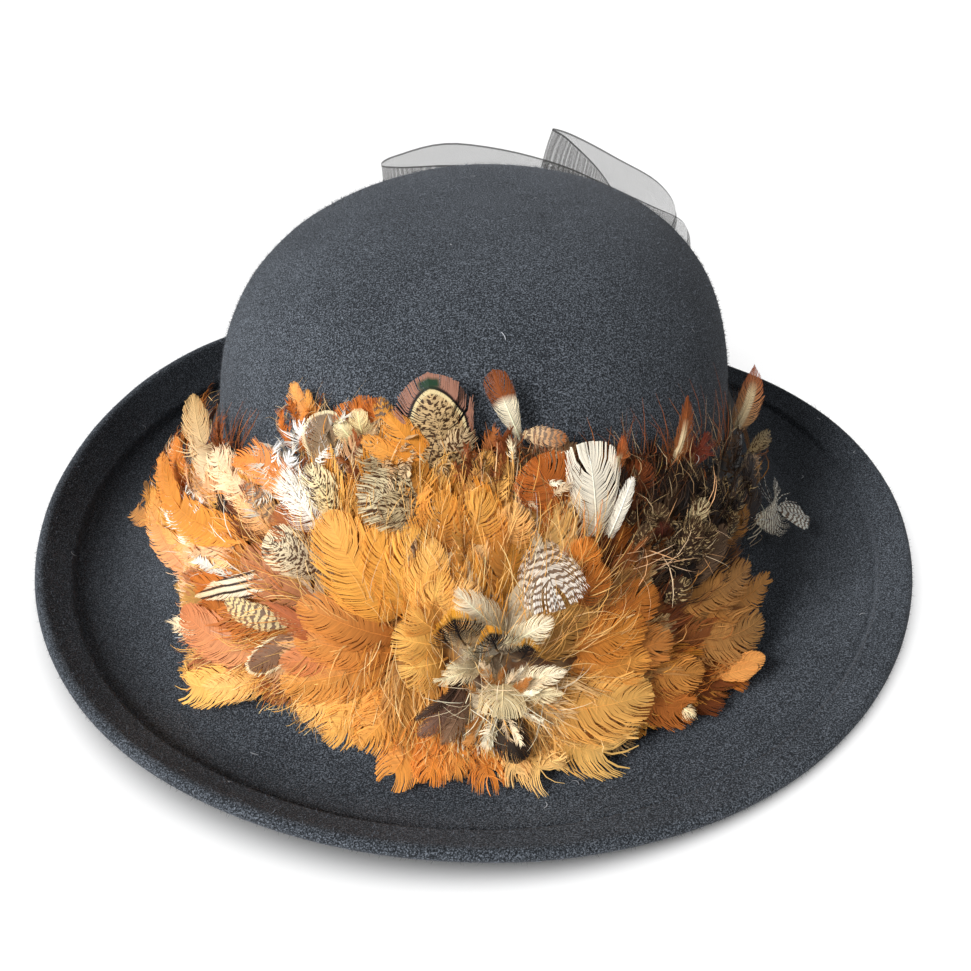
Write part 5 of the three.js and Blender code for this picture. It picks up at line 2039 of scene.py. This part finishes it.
    Plume("right_e", (1744, 1100), (2000, 1010), 13, 5, "a8662e", "bf7f40", loose=0.3),
    Plume("right_f", (1870, 1150), (2120, 1130), 12, 5, "b87838", "cf9048", loose=0.3),
    Plume("tip_a", (2120, 1160), (2352, 1092), 8, 5.5, "cc8a44", "e2a05a", loose=0.02),
    Plume("tip_b", (2110, 1180), (2345, 1145), 7, 5, "cc8a44", "dd9c58", loose=0.02),
    Plume("tip_c", (2044, 1020), (2325, 935), 16, 5, "b98044", "cf9a5a", loose=0.3),
    Plume("tip_d", (2094, 930), (2352, 778), 9, 5, "b87c3e", "cf944e", loose=0.3),
    Plume("tip_e", (2024, 900), (2284, 745), 12, 4.6, "a8743c", "c08c50", loose=0.3),
    Plume("tip_f", (2194, 700), (2269, 535), 7, 5, "8a5a2c", "b07c3c", loose=0.3),
    Plume("tip_g", (2044, 1250), (2102, 1312), 4, 4, "e9d2a4", "efdcb4", loose=0.8),
    Plume("brown_a", (1694, 1010), (1944, 830), 14, 5, "8f4f1e", "b5712f", loose=0.3),
    Plume("brown_b", (1654, 1080), (1894, 950), 13, 5.2, "b06c2a", "cd8a3c", loose=0.3),
    Plume("brown_c", (1634, 1160), (1920, 1080), 13, 5.4, "c07c34", "d9994a", loose=0.3),
    Plume("brown_d", (1640, 900), (1760, 740), 10, 5, "8a4a1c", "b8702c", loose=0.3),
    Plume("brown_e", (1654, 800), (1700, 650), 10, 5, "b86a24", "d98a3c", loose=0.3),
    Plume("fleck_a", (1894, 700), (1904, 585), 6, 6, "4a3522", "57402c", Marking.FLECKED),
    Plume("fleck_b", (2030, 780), (2074, 570), 9, 6, "3a281c", "45301f", Marking.FLECKED),
    Plume("fleck_c", (2080, 740), (2134, 595), 8, 6, "3a281c", "45301f", Marking.FLECKED),
    Plume("fleck_d", (1994, 900), (2054, 790), 8, 5.5, "33221a", "45301f", Marking.FLECKED),
    Plume("fleck_e", (2079, 640), (2104, 500), 6, 6, "c9b286", "d6c49a", Marking.SPECKLED),
    Plume("fleck_f", (1930, 640), (1960, 520), 7, 5, "4a3020", "57402c", Marking.FLECKED),
    Plume("dark_a", (2094, 860), (2184, 600), 7, 5.5, "54402f", "6f5844"),
    Plume("dark_b", (1994, 670), (1954, 590), 7, 5, "4a2218", "66301e"),
    Plume("dark_c", (1884, 500), (1890, 370), 10, 4.5, "6b3517", "8a4a24", loose=0.3),
    Plume("upright_a", (2034, 440), (2062, 125), 5, 4.5, "8a5c34", "8a4a24", Marking.SHAFTED),
    Plume("upright_b", (2094, 390), (2129, 255), 7, 5, "6a3020", "7c3c2a"),
    Plume("upright_c", (1804, 500), (1809, 270), 4, 6.5, "d0884c", "a8582c", Marking.SHAFTED),
    Plume("upright_d", (1790, 690), (1844, 430), 4, 7.5, "e6dcc8", "efe9dc", bend=16),
    Plume("small_right", (-18, 0.3), (-8, 0.2), 5, 6, "b59c70", "cdb992", Marking.SPECKLED, on_pad=True,
          facing=1.0),
    Plume("far_right", (2284, 245), (2309, 12), 8, 4, "c9a070", "8a4222", Marking.SHAFTED, loose=0.05,
          facing=1.0),
    Plume("banded", (1464, 275), (1614, 290), 5, 6, "d9c49c", "a8622e", Marking.BARRED),
)


@dataclass(frozen=True)
class Tuft:
    """A patch of small feathers of one kind."""

    angle: float
    row: float
    half_angle: float
    half_row: float
    count: int
    heading: float
    fan: float
    length: tuple[float, float]
    slimness: tuple[float, float]
    lift: tuple[float, float]
    palette: Palette
    marking: Marking = Marking.PLAIN
    cut: Cut = Cut.OVAL
    loose: float = 0.5
    curl: float = 15
    barbs: int = 24
    radial: bool = False
    most_bow: float = 2
    loose_spread: float = 0.2
    loosest: float = 1.3
    roll: float = 22
    droop: float = 1.5
    quill: float = 0.24
    gains: tuple[float, float] = (0.8, 1.15)


TUFTS = (
    Tuft(-97, 0.36, 6, 0.07, 12, 0, 22, (18, 26), (0.35, 0.5), (2, 4), Palette.GOLD, loose=0.5),
    Tuft(-87, 0.73, 1.6, 0.03, 16, 0, 20, (7, 12), (0.2, 0.4), (5, 8), Palette.CREAM, loose=0.8,
         radial=True),
    Tuft(-87, 0.74, 1.6, 0.03, 8, 0, 20, (7, 12), (0.2, 0.4), (5, 8), Palette.BROWN_GOLD, loose=0.6,
         radial=True),
    Tuft(-104, 0.12, 4, 0.05, 24, 80, 60, (8, 13), (0.5, 0.75), (3, 6), Palette.STRAW,
         Marking.SPECKLED, loose=0.4),
    Tuft(-122.5, 0.2, 2.6, 0.06, 18, 0, 140, (8, 13), (0.6, 0.9), (3, 6), Palette.WHITE, loose=1.1),
    Tuft(-124.5, 0.12, 2, 0.04, 7, 352, 26, (7, 12), (0.2, 0.34), (2, 5), Palette.ORANGE, loose=0.8),
    Tuft(-119, 0.14, 3.4, 0.03, 10, 0, 40, (7, 12), (0.2, 0.4), (2, 4), Palette.STRAW, loose=1.1),
    Tuft(-110.5, 0.14, 3.4, 0.03, 12, 0, 50, (6, 11), (0.3, 0.45), (3, 5), Palette.RUST, loose=0.7,
         curl=50),
    Tuft(-88, 0.12, 3, 0.05, 14, 350, 40, (7, 12), (0.2, 0.35), (2, 5), Palette.RUST, loose=1.1),
    Tuft(-81, 0.12, 2.2, 0.03, 8, 0, 60, (6, 10), (0.2, 0.4), (3, 6), Palette.CREAM, loose=1.0),
    Tuft(-62, 0.16, 8, 0.05, 14, 0, 28, (7, 12), (0.14, 0.26), (1, 4), Palette.EARTH, loose=1.1),
    Tuft(-40, 0.2, 8, 0.06, 14, 0, 28, (7, 12), (0.14, 0.26), (1, 4), Palette.EARTH, loose=1.1),
    Tuft(-56, 0.3, 6, 0.08, 22, 0, 100, (6, 11), (0.4, 0.6), (3, 6), Palette.EARTH, Marking.FLECKED),
    Tuft(-44, 0.36, 5, 0.1, 20, 20, 60, (6, 12), (0.4, 0.6), (3, 6), Palette.EARTH, Marking.FLECKED),
    Tuft(-136, 0.46, 5, 0.04, 12, 285, 16, (14, 22), (0.2, 0.35), (4, 6), Palette.PEACH, loose=0.8),
    Tuft(-142, 0.5, 5, 0.05, 10, 285, 16, (12, 18), (0.2, 0.35), (4, 6), Palette.WHITE, loose=0.9),
    Tuft(-148, 0.1, 4, 0.05, 14, 340, 26, (9, 15), (0.2, 0.35), (2, 5), Palette.RUST, loose=0.9),
)


@dataclass(frozen=True)
class Wisps:
    """Single barbs over a stretch of the pad; with no heading they run with the feathers there."""

    angles: tuple[float, float]
    rows: tuple[float, float]
    count: int
    length: tuple[float, float]
    lift: tuple[float, float]
    half_width: float = 0.13
    fan: float = 26
    curl: float = 50
    heading: Optional[float] = None
    palette: Optional[Palette] = None
    past_the_edge: bool = False
    steps: int = 5
    most_bow: float = 2.4
    roll: float = 40
    sink: float = -1
    droop: float = 1.5
    zone_gain: float = 1.12
    gains: tuple[float, float] = (0.75, 1.2)
    widths: tuple[float, float] = (0.6, 1.2)
    taper: float = 0.85
    seed_span: float = 9
    seed_step: float = 3


WISPS = (
    Wisps((-200, -8), (0.1, 0.98), 1800, (8, 18), (2.5, 5.5), fan=12, curl=26),
    Wisps((-125, -70), (0.25, 0.9), 1100, (8, 18), (3, 6.5), fan=14, curl=36, palette=Palette.PALE_GOLD),
    Wisps((-180, -10), (0.72, 0.98), 2400, (6, 13), (1, 4), fan=14, curl=24),
    Wisps((-180, -10), (-0.05, 0.3), 950, (6, 13), (1, 4), fan=24, curl=40),
    Wisps((-95, -26), (0.02, 0.2), 300, (8, 19), (0.5, 4), 0.11, 24, 40, 0, Palette.EARTH),
    Wisps((-90, -34), (0.02, 0.24), 140, (8, 17), (1, 5), 0.12, 28, 50, 0, Palette.RUST),
    Wisps((-66, -24), (0.1, 0.5), 260, (8, 17), (2, 6), 0.12, 30, 50, 10, Palette.EARTH),
    Wisps((-66, -24), (0.1, 0.5), 90, (7, 14), (3, 6), 0.12, 40, 60, 10, Palette.STRAW),
    Wisps((-128, -104), (0.0, 0.14), 150, (7, 15), (1, 4), 0.1, 34, 70, 0, Palette.STRAW),
    Wisps((-156, -132), (0.04, 0.2), 100, (8, 15), (1, 4), 0.11, 26, 50, 0, Palette.PEACH),
    Wisps((-72, -50), (0.3, 0.44), 36, (8, 17), (5, 8), 0.13, 60, 40, 90, Palette.PEACH),
    Wisps((-72, -34), (0.0, 0.12), 130, (9, 20), (1, 5), 0.17, 22, 44, 0, Palette.RUST),
    Wisps((-90, -66), (0.0, 0.1), 70, (8, 16), (1, 5), 0.16, 24, 50, 0, Palette.RUST),
    Wisps((-150, -134), (0.0, 0.12), 60, (9, 17), (1, 5), 0.16, 22, 50, 0, Palette.RUST),
    Wisps((-68, -32), (0.03, 0.12), 80, (7, 20), (0.6, 4), 0.14, 20, 44, 0, Palette.RUST, True),
    Wisps((-64, -34), (0.03, 0.12), 50, (7, 17), (0.6, 4), 0.14, 20, 44, 0, Palette.STRAW, True),
    Wisps((-96, -68), (0.03, 0.1), 60, (6, 14), (0.6, 4), 0.13, 22, 50, 0, Palette.RUST, True),
    Wisps((-130, -116), (0.02, 0.1), 40, (6, 13), (0.6, 4), 0.13, 26, 50, 0, Palette.STRAW, True),
    Wisps((-156, -136), (0.03, 0.12), 50, (8, 16), (0.6, 3), 0.14, 20, 44, 0, Palette.RUST, True),
    Wisps((-186, -160), (0.1, 0.6), 70, (8, 15), (0.6, 3), 0.14, 16, 40, 300, Palette.ORANGE, True),
    Wisps((-35, -31), (0.56, 0.66), 9, (9, 15), (2, 3), 0.22, 9, 12, 95, Palette.CREAM, True),
    Wisps((-36, -28), (0.02, 0.5), 60, (8, 18), (1, 3), 0.14, 30, 40, 60, Palette.EARTH, True),
    Wisps((-92, -80), (0.68, 0.8), 70, (7, 12), (6, 8.5), 0.14, 120, 30, 0, Palette.CREAM),
)


@dataclass(frozen=True)
class Hackles:
    """How the hackles vary: ranges from least to most, spreads in degrees, and how they are cut.

    Loose is a value for all and what chance adds.
    """

    full_height: float = 78
    least_scale: float = 0.55
    spread: float = 10
    turn: float = 14
    roll: float = 7
    tip_gain: tuple[float, float] = (0.85, 1.15)
    # Roots darker than tips: partly the feathers' own deeper tone, partly painted shade where they lie under
    # the feathers above
    root_tone_and_shade: tuple[float, float] = (0.4, 0.85)
    length: tuple[float, float] = (25, 38)
    least_length: float = 9
    width: tuple[float, float] = (11, 17)
    broadest: float = 0.66
    lift: tuple[float, float] = (0.8, 3.4)
    bow: tuple[float, float] = (0.2, 1.6)
    loose: tuple[float, float] = (0.12, 0.55)
    droop: float = 2.4
    barbs: int = 56
    quill: float = 0.3
    cuts: tuple[Cut, ...] = (Cut.OVAL, Cut.HACKLE, Cut.SLIM)
    shares: tuple[float, ...] = (0.45, 0.33, 0.22)


@dataclass
class FeatherPad:
    """The pad: its backing, hundreds of hackles, the plumes set into them and the loose tufts."""

    plumage: Plumage
    seed: int = 41
    column_pitch: float = 6.6
    row_pitch: float = 7.6
    first_angle: float = -202
    last_angle: float = -5
    column_spread: float = 1.4
    row_step: tuple[float, float] = (0.1, 0.9)
    first_row: float = 0.03
    row_span: float = 0.93
    kinds: Hackles = Hackles()
    left_heart: tuple[float, float] = (-104, 0.56)
    right_heart: tuple[float, float] = (-88, 0.66)
    view: PhotoView = PhotoView()
    shares: tuple[float, ...] = (1.0, 0.85, 0.7, 0.55, 0.42, 0.3)
    around_scale: float = 45
    down_scale: float = 19
    least_down: float = 0.2
    stray: float = 0.002
    edge_slack: float = 0.025
    single_barbs: int = 110
    set_barbs: int = 84
    plume_gain: float = 1.06
    backing_steps: tuple[int, int] = (120, 22)
    backing_past: float = 2
    # Share of the feathers' deepest colour kept in the backing: painted shade seen between the feathers
    backing_painted_shade: float = 0.4
    bare_edge: float = 0.07
    under_face: float = 1.6
    rng: np.random.Generator = field(init=False)

    def __post_init__(self) -> None:
        """Starts the pad's own stream of random numbers and finds where its edges run."""
        self.rng = np.random.default_rng(self.seed)
        self.finder = PlaceFinder(self.plumage.pad, self.view)
        self.top_edge, self.hem_edge = self.edge(TOP_EDGE), self.edge(HEM_EDGE)

    def edge(self, spots: tuple[tuple[float, float], ...]) -> tuple[np.ndarray, np.ndarray]:
        """Angles and rows along an edge that was read from the photograph."""
        found = self.finder.find(spots)
        found = found[found[:, 0].argsort()]
        return found[:, 0], found[:, 1]

    def flow(self, angle: np.ndarray, row: np.ndarray) -> np.ndarray:
        """Heading of a feather at places on the pad, away from the two hearts it spreads from.

        Args:
            angle: Angles round the hat.
            row: Rows of the pad.

        Returns:
            Headings in degrees.
        """
        tall, radius = self.plumage.pad.spans(angle)
        left, right = self.left_heart[0], self.right_heart[0]
        across = np.where(angle < left, angle - left, np.where(angle > right, angle - right, 0))
        across = np.radians(across) * radius / self.around_scale
        middle = np.where(angle < (left + right) / 2, self.left_heart[1], self.right_heart[1])
        down = (row - middle) * tall / self.down_scale
        down = np.where(np.abs(down) < self.least_down, np.sign(down + TINY) * self.least_down, down)
        return np.degrees(np.arctan2(across, -down))

    def places(self) -> tuple[np.ndarray, np.ndarray]:
        """Roots of the hackles, set in rows with a step to each side at random."""
        pad = self.plumage.pad
        angle, angles, rows = self.first_angle, [], []
        while angle < self.last_angle:
            tall, radius = (float(v) for v in pad.spans(np.array(angle)))
            count = max(2, round(tall / self.row_pitch))
            step = (np.arange(count) + self.rng.uniform(*self.row_step, count)) / count
            rows.append(step * self.row_span + self.first_row)
            angles.append(angle + self.rng.normal(size=count) * self.column_spread)
            angle += math.degrees(self.column_pitch / radius)
        return np.concatenate(angles), np.concatenate(rows)

    def palette_of(self, angle: np.ndarray, row: np.ndarray) -> np.ndarray:
        """Number of the zone for each feather, drawn by how near each is in the photograph.

        Args:
            angle: Angles of the roots.
            row: Rows of the roots.

        Returns:
            Numbers into ZONES.
        """
        x, y = self.view.seen(self.plumage.pad.face(angle, row)).T
        pull = np.array([z.weight * np.exp(-((x - z.x) ** 2 + (y - z.y) ** 2) / z.reach ** 2) for z in ZONES])
        pull = pull + self.stray
        pull = (pull / pull.sum(axis=0)).cumsum(axis=0)
        return (self.rng.random(len(angle))[None] < pull).argmax(axis=0)

    def within(self, angle: np.ndarray, row: np.ndarray, heading: np.ndarray,
               length: np.ndarray) -> np.ndarray:
        """Lengths cut so that each tip stays inside the pad's edges.

        Args:
            angle: Angles of the roots.
            row: Rows of the roots.
            heading: Ways the feathers point.
            length: Lengths before they are cut.

        Returns:
            The lengths, 0 where not even a short feather fits.
        """
        tall, radius = self.plumage.pad.spans(angle)
        way = np.radians(heading)
        across, down = np.degrees(np.sin(way) / radius), -np.cos(way) / tall
        slack = self.edge_slack * self.rng.normal(size=len(angle))
        kept = np.zeros(len(angle))
        for share in self.shares:
            tip_angle, tip_row = angle + across * length * share, row + down * length * share
            inside = ((tip_row > np.interp(tip_angle, *self.top_edge) - slack)
                      & (tip_row < np.interp(tip_angle, *self.hem_edge) + slack))
            kept = np.where((kept == 0) & inside, length * share, kept)
        return kept

    def hackles(self) -> list[Flock]:
        """The hackles that cover the whole pad, in one flock for each cut."""
        rng, kinds = self.rng, self.kinds
        angle, row = self.places()
        count = len(angle)
        tall, _ = self.plumage.pad.spans(angle)
        scale = np.clip(tall / kinds.full_height, kinds.least_scale, 1)
        heading = self.flow(angle, row) + rng.normal(size=count) * kinds.spread
        tint = self.zone_tints(self.palette_of(angle, row))
        tip = tint * rng.uniform(*kinds.tip_gain, (count, 1))
        # Partly painted shade: the roots are darkened where the feathers overlap
        root = tint * rng.uniform(*kinds.root_tone_and_shade, (count, 1))
        length = self.within(angle, row, heading, scale * rng.uniform(*kinds.length, count))
        width = np.minimum(scale * rng.uniform(*kinds.width, count), kinds.broadest * length)
        whole = Flock(
            angle=angle, row=row, heading=heading, turn=rng.normal(size=count) * kinds.turn,
            length=length, width=width,
            lift=rng.uniform(*kinds.lift, count), bow=rng.uniform(*kinds.bow, count),
            root_tint=root, tip_tint=np.clip(tip, 0, BRIGHTEST),
            loose=kinds.loose[0] + kinds.loose[1] * rng.random(count) ** 2,
            roll=rng.normal(size=count) * kinds.roll, droop=kinds.droop, barbs=kinds.barbs, quill=kinds.quill)
        kind = rng.choice(len(kinds.cuts), count, p=kinds.shares)
        kind[length < kinds.least_length] = -1
        return [replace(choose(whole, kind == i), cut=cut) for i, cut in enumerate(kinds.cuts)]

    def zone_tints(self, zones: np.ndarray) -> np.ndarray:
        """A colour from the palette of each zone, one a row."""
        return np.concatenate([ZONES[z].palette.pick(self.rng, 1) for z in zones])

    def tuft(self, tuft: Tuft) -> Flock:
        """Small feathers scattered over one patch of the pad.

        Args:
            tuft: Where they grow and what they are like.

        Returns:
            The feathers.
        """
        rng, count = self.rng, tuft.count
        angle = tuft.angle + rng.normal(size=count) * tuft.half_angle
        row = tuft.row + rng.normal(size=count) * tuft.half_row
        heading = tuft.heading
        if tuft.radial:
            heading = rng.uniform(0, 360, count)
            angle = tuft.angle + np.sin(np.radians(heading)) * tuft.half_angle
            row = tuft.row - np.cos(np.radians(heading)) * tuft.half_row
        heading = heading + rng.normal(size=count) * tuft.fan
        tint = tuft.palette.pick(rng, count)
        length = rng.uniform(*tuft.length, count)
        return Flock(
            angle=angle, row=row, heading=heading, turn=rng.normal(size=count) * tuft.curl,
            length=length, width=length * rng.uniform(*tuft.slimness, count),
            lift=rng.uniform(*tuft.lift, count), bow=rng.uniform(0, tuft.most_bow, count),
            root_tint=tint * tuft.gains[0], tip_tint=np.clip(tint * tuft.gains[1], 0, BRIGHTEST),
            loose=np.clip(tuft.loose + tuft.loose_spread * rng.normal(size=count), 0, tuft.loosest),
            roll=rng.normal(size=count) * tuft.roll, cut=tuft.cut, barbs=tuft.barbs, quill=tuft.quill,
            droop=tuft.droop)

    def strands(self, soup: Soup, wisps: Wisps) -> None:
        """Adds loose single barbs and bristles that run with the feathers or stand out of them.

        Args:
            soup: The piece's triangles.
            wisps: Where they grow, how many and what they are like.
        """
        rng, count, steps = self.rng, wisps.count, wisps.steps
        angle = rng.uniform(*wisps.angles, count)
        row = rng.uniform(*wisps.rows, count)
        base = self.flow(angle, row) if wisps.heading is None else np.full(count, wisps.heading)
        heading = base + rng.normal(size=count) * wisps.fan
        length = rng.uniform(*wisps.length, count)
        if not wisps.past_the_edge:
            length = self.within(angle, row, heading, length)
        zone = self.palette_of(angle, row)
        if wisps.palette is None:
            tint = self.zone_tints(zone) * wisps.zone_gain
        else:
            tint = wisps.palette.pick(rng, count)
        flock = Flock(
            angle=angle, row=row, heading=heading, turn=rng.normal(size=count) * wisps.curl,
            length=length, width=np.ones(count), lift=rng.uniform(*wisps.lift, count),
            bow=rng.uniform(0, wisps.most_bow, count), root_tint=tint * wisps.gains[0],
            tip_tint=np.clip(tint * wisps.gains[1], 0, BRIGHTEST), loose=np.zeros(count),
            roll=rng.normal(size=count) * wisps.roll, sink=wisps.sink, droop=wisps.droop)
        flock = choose(flock, length > 0)
        count, length = flock.size(), flock.length
        t = np.linspace(0, 1, steps)
        point, _, _, side = self.plumage.spine(flock, t)
        half = (wisps.half_width * rng.uniform(*wisps.widths, count))[:, None] * (1 - wisps.taper * t ** 2)
        strip = np.stack([point - side * half[..., None], point + side * half[..., None]], axis=2)
        faces = copies(ring_faces(steps, 2, closed=False), count, steps * 2)
        full = np.zeros((count, steps, 2))
        shade = self.plumage.tints(flock, t[None, :, None] + full)
        run = (t * length[:, None])[..., None] + full
        seed = rng.random((count, 1, 1)) * wisps.seed_span + full
        barb = np.stack([seed * wisps.seed_step, run, seed], axis=-1)
        soup.add(strip, faces, tint=shade, barb=barb, plan=np.stack([run, full, run], axis=-1))

    def plume(self, q: Plume, barbs: int) -> Flock:
        """One listed feather that runs from its root to its tip.

        Args:
            q: The feather.
            barbs: Barbs to a side.

        Returns:
            A flock of that one feather.
        """
        root, tip = np.array([q.root, q.tip], float) if q.on_pad else self.finder.find((q.root, q.tip))
        tall, radius = (float(v) for v in self.plumage.pad.spans(root[0]))
        across, down = math.radians(tip[0] - root[0]) * radius, (tip[1] - root[1]) * tall
        heading = math.degrees(math.atan2(across, -down))
        flock = Flock(
            angle=root[:1], row=root[1:], heading=np.array([heading - q.bend / 2]),
            turn=np.array([q.bend], float), length=np.array([math.hypot(across, down)]),
            width=np.array([q.width], float), lift=np.array([q.lift], float), bow=np.array([q.bow]),
            root_tint=colours(q.root_colour),
            tip_tint=np.clip(colours(q.tip_colour) * self.plume_gain, 0, BRIGHTEST),
            loose=np.array([q.loose]), roll=np.zeros(1), cut=q.cut, barbs=barbs, shaft=q.shaft)
        point, _, out, side = (v[0, 1] for v in self.plumage.spine(flock, np.array(q.faced_at)))
        to_eye = self.view.eye() - point
        flock.roll = np.array([q.facing * math.degrees(math.atan2(-to_eye @ side, to_eye @ out))])
        return flock

    def build(self, vanes: dict[Marking, Material], backing: Material) -> list[Piece]:
        """Builds the pad.

        Args:
            vanes: Finish of the feathers by marking.
            backing: Finish of the cloth under them.

        Returns:
            The pieces.
        """
        plain = vanes[Marking.PLAIN]
        pieces = [self.backing(backing)]
        for i, flock in enumerate(self.hackles()):
            log.info("%d hackles of cut %s", flock.size(), flock.cut.name.lower())
            pieces.append(self.grown(f"hackles_{i + 1}", [flock], plain, slot_for(Marking.PLAIN)))
        for marking, tufts in by_marking(TUFTS).items():
            flocks = [self.tuft(tuft) for tuft in tufts]
            pieces.append(self.grown(f"tufts_{marking.value}", flocks, vanes[marking], slot_for(marking)))
        loose = Soup()
        for wisps in WISPS:
            self.strands(loose, wisps)
        pieces.append(set_on_hat(loose.piece("loose_barbs", plain), slot_for(Marking.PLAIN), "feather_pad"))
        for q in (q for q in PLUMES if q.node):
            flocks = [self.plume(q, self.single_barbs)]
            pieces.append(self.grown(f"plume_{q.name}", flocks, vanes[q.marking], slot_of(q.node), q.node))
        for marking, rows in by_marking([q for q in PLUMES if not q.node]).items():
            flocks = [self.plume(q, self.set_barbs) for q in rows]
            pieces.append(self.grown(f"set_{marking.value}", flocks, vanes[marking], slot_for(marking)))
        return pieces

    def grown(self, name: str, flocks: list[Flock], vane: Material, slot: str,
              node: str = "feather_pad") -> Piece:
        """One piece of all the feathers of some flocks.

        Args:
            name: The piece's name.
            flocks: The feathers.
            vane: Their finish.
            slot: The record's material slot.
            node: The solid that they stand for.

        Returns:
            The piece.
        """
        part = Soup()
        for flock in flocks:
            self.plumage.grow(part, flock)
        return set_on_hat(part.piece(name, vane), slot, node)

    def backing(self, cloth: Material) -> Piece:
        """The bent cloth that the feathers are sewn to, just under the pad's face, in their deepest colours
        darkened: painted shade that shows in the gaps between them.

        Args:
            cloth: Finish of the cloth.

        Returns:
            The backing.
        """
        around, down = self.backing_steps
        degrees = np.linspace(self.first_angle, self.last_angle + self.backing_past, around)
        top = np.interp(degrees, *self.top_edge) + self.bare_edge
        hem = np.interp(degrees, *self.hem_edge) - self.bare_edge
        share = np.linspace(0, 1, down)
        rows = top[:, None] + (np.maximum(hem, top) - top)[:, None] * share
        angles = degrees[:, None] + 0 * rows
        point, out = self.plumage.pad.frame(angles, rows)
        zone = self.palette_of(angles.ravel(), rows.ravel())
        tint = colours(*(ZONES[z].palette.value[0] for z in zone)).reshape(*angles.shape, 3)
        soup = Soup()
        faces = ring_faces(around, down, closed=False)
        # The backing's tint is painted shade: the feathers' deepest colours, darkened
        soup.add(point - out * self.under_face, faces, tint=tint * self.backing_painted_shade)
        return set_on_hat(soup.piece("pad_backing", cloth), "cock_feathers", "feather_pad")


def slot_for(marking: Marking) -> str:
    """The record's material slot for feathers with a marking."""
    return "cock_feathers" if marking is Marking.PLAIN else "pheasant_feathers"


def slot_of(node: str) -> str:
    """The record's material slot of a node."""
    return next(row["material_slot"] for row in frame["record"]["subparts"] if row["node"] == node)


def choose(flock: Flock, kept: np.ndarray) -> Flock:
    """The feathers of a flock that a mask keeps."""
    fields = {}
    for name, value in vars(flock).items():
        fields[name] = value[kept] if isinstance(value, np.ndarray) else value
    return Flock(**fields)


def by_marking(rows: Any) -> dict[Marking, list[Any]]:
    """Tufts or plumes gathered by their marking."""
    groups: dict[Marking, list[Any]] = {}
    for row in rows:
        groups.setdefault(row.marking, []).append(row)
    return groups


# Studio


@dataclass(frozen=True)
class Daylight:
    """Soft light that falls evenly from one side, on the hat alone or on the floor alone.

    Place is where it comes from, spread is how wide the bright patch of sky is in degrees.
    """

    name: str
    place: tuple[float, float, float]
    spread: float
    power: float
    floor_only: bool = False

    def build(self, floor: Piece) -> None:
        """Adds the lamp and says what it lights.

        Args:
            floor: The studio floor.
        """
        data = bpy.data.lights.new(self.name, "SUN")
        data.angle = math.radians(self.spread)
        data.energy = self.power
        lamp = bpy.data.objects.new(self.name, data)
        bpy.context.scene.collection.objects.link(lamp)
        lamp.location = self.place
        lamp.rotation_euler = (-Vector(self.place)).to_track_quat("-Z", "Y").to_euler()
        group = bpy.data.collections.new(f"floor_of_{self.name}")
        group.objects.link(floor)
        group.collection_objects[0].light_linking.link_state = "INCLUDE" if self.floor_only else "EXCLUDE"
        lamp.light_linking.receiver_collection = group


@dataclass(frozen=True)
class Studio:
    """Floor, soft lights and the camera at the photograph's angle."""

    view: PhotoView = PhotoView()
    floor_half: float = 4000
    lights: tuple[Daylight, ...] = (
        Daylight("window_on_the_left", (-0.78, -0.66, 0.7), 24, 5.5),
        Daylight("ceiling_over_the_floor", (-0.2, -0.3, 1.2), 70, 3.0, floor_only=True),
    )
    walls: str = "ffffff"
    walls_power: float = 0.3
    nearest: float = 0.01
    farthest: float = 50

    def camera(self) -> None:
        """Sets the camera."""
        data = bpy.data.cameras.new("camera")
        data.lens, data.sensor_width = self.view.lens, self.view.sensor
        data.sensor_fit = "HORIZONTAL"
        data.clip_start, data.clip_end = self.nearest, self.farthest
        camera = bpy.data.objects.new("camera", data)
        bpy.context.scene.collection.objects.link(camera)
        turn = Matrix(self.view.axes()).transposed().to_4x4()
        camera.matrix_world = Matrix.Translation(Vector(self.view.eye()) * MM) @ turn
        bpy.context.scene.camera = camera

    def floor(self, board: Material) -> Piece:
        """Lays the pale floor at the hat's rest height."""
        half = self.floor_half
        points = np.array([[-half, -half, 0], [half, -half, 0], [half, half, 0], [-half, half, 0]], float)
        floor = mesh_object("studio_floor", points, np.array([[0, 1, 2, 3]]), board)
        return floor

    def build(self, board: Material) -> None:
        """Sets up floor, lights, world and camera.

        Args:
            board: Finish of the floor.
        """
        scene = bpy.context.scene
        scene.view_settings.view_transform = "Standard"
        scene.view_settings.look = "None"
        world = bpy.data.worlds.new("white studio")
        world.use_nodes = True
        ground = world.node_tree.nodes["Background"]
        ground.inputs["Color"].default_value = linear(self.walls)
        ground.inputs["Strength"].default_value = self.walls_power
        scene.world = world
        floor = self.floor(board)
        for light in self.lights:
            light.build(floor)
        self.camera()


def main() -> None:
    """Builds the hat and its studio."""
    logging.basicConfig(level=logging.INFO, format="%(message)s")
    form = HatForm()
    pad = PadForm(form)
    Studio().build(PaintedBoard().build())
    fibre = TintedFibre("loose wool fibre").build()
    thread = TintedFibre("black sewing thread", roughness=0.5).build()
    FeltBody(form).build(WoolFelt().build(), fibre, thread)
    net = CrinBraid().build()
    crushed = CrinBraid(name="crushed black crin", open_weave=False).build()
    CrinTrim(form).build(net, crushed)
    vanes = {vane.marking: vane.build() for vane in VANES}
    FeatherPad(Plumage(pad)).build(vanes, TintedFibre("brown felt backing", roughness=0.9).build())


if __name__ == "__main__":
    main()
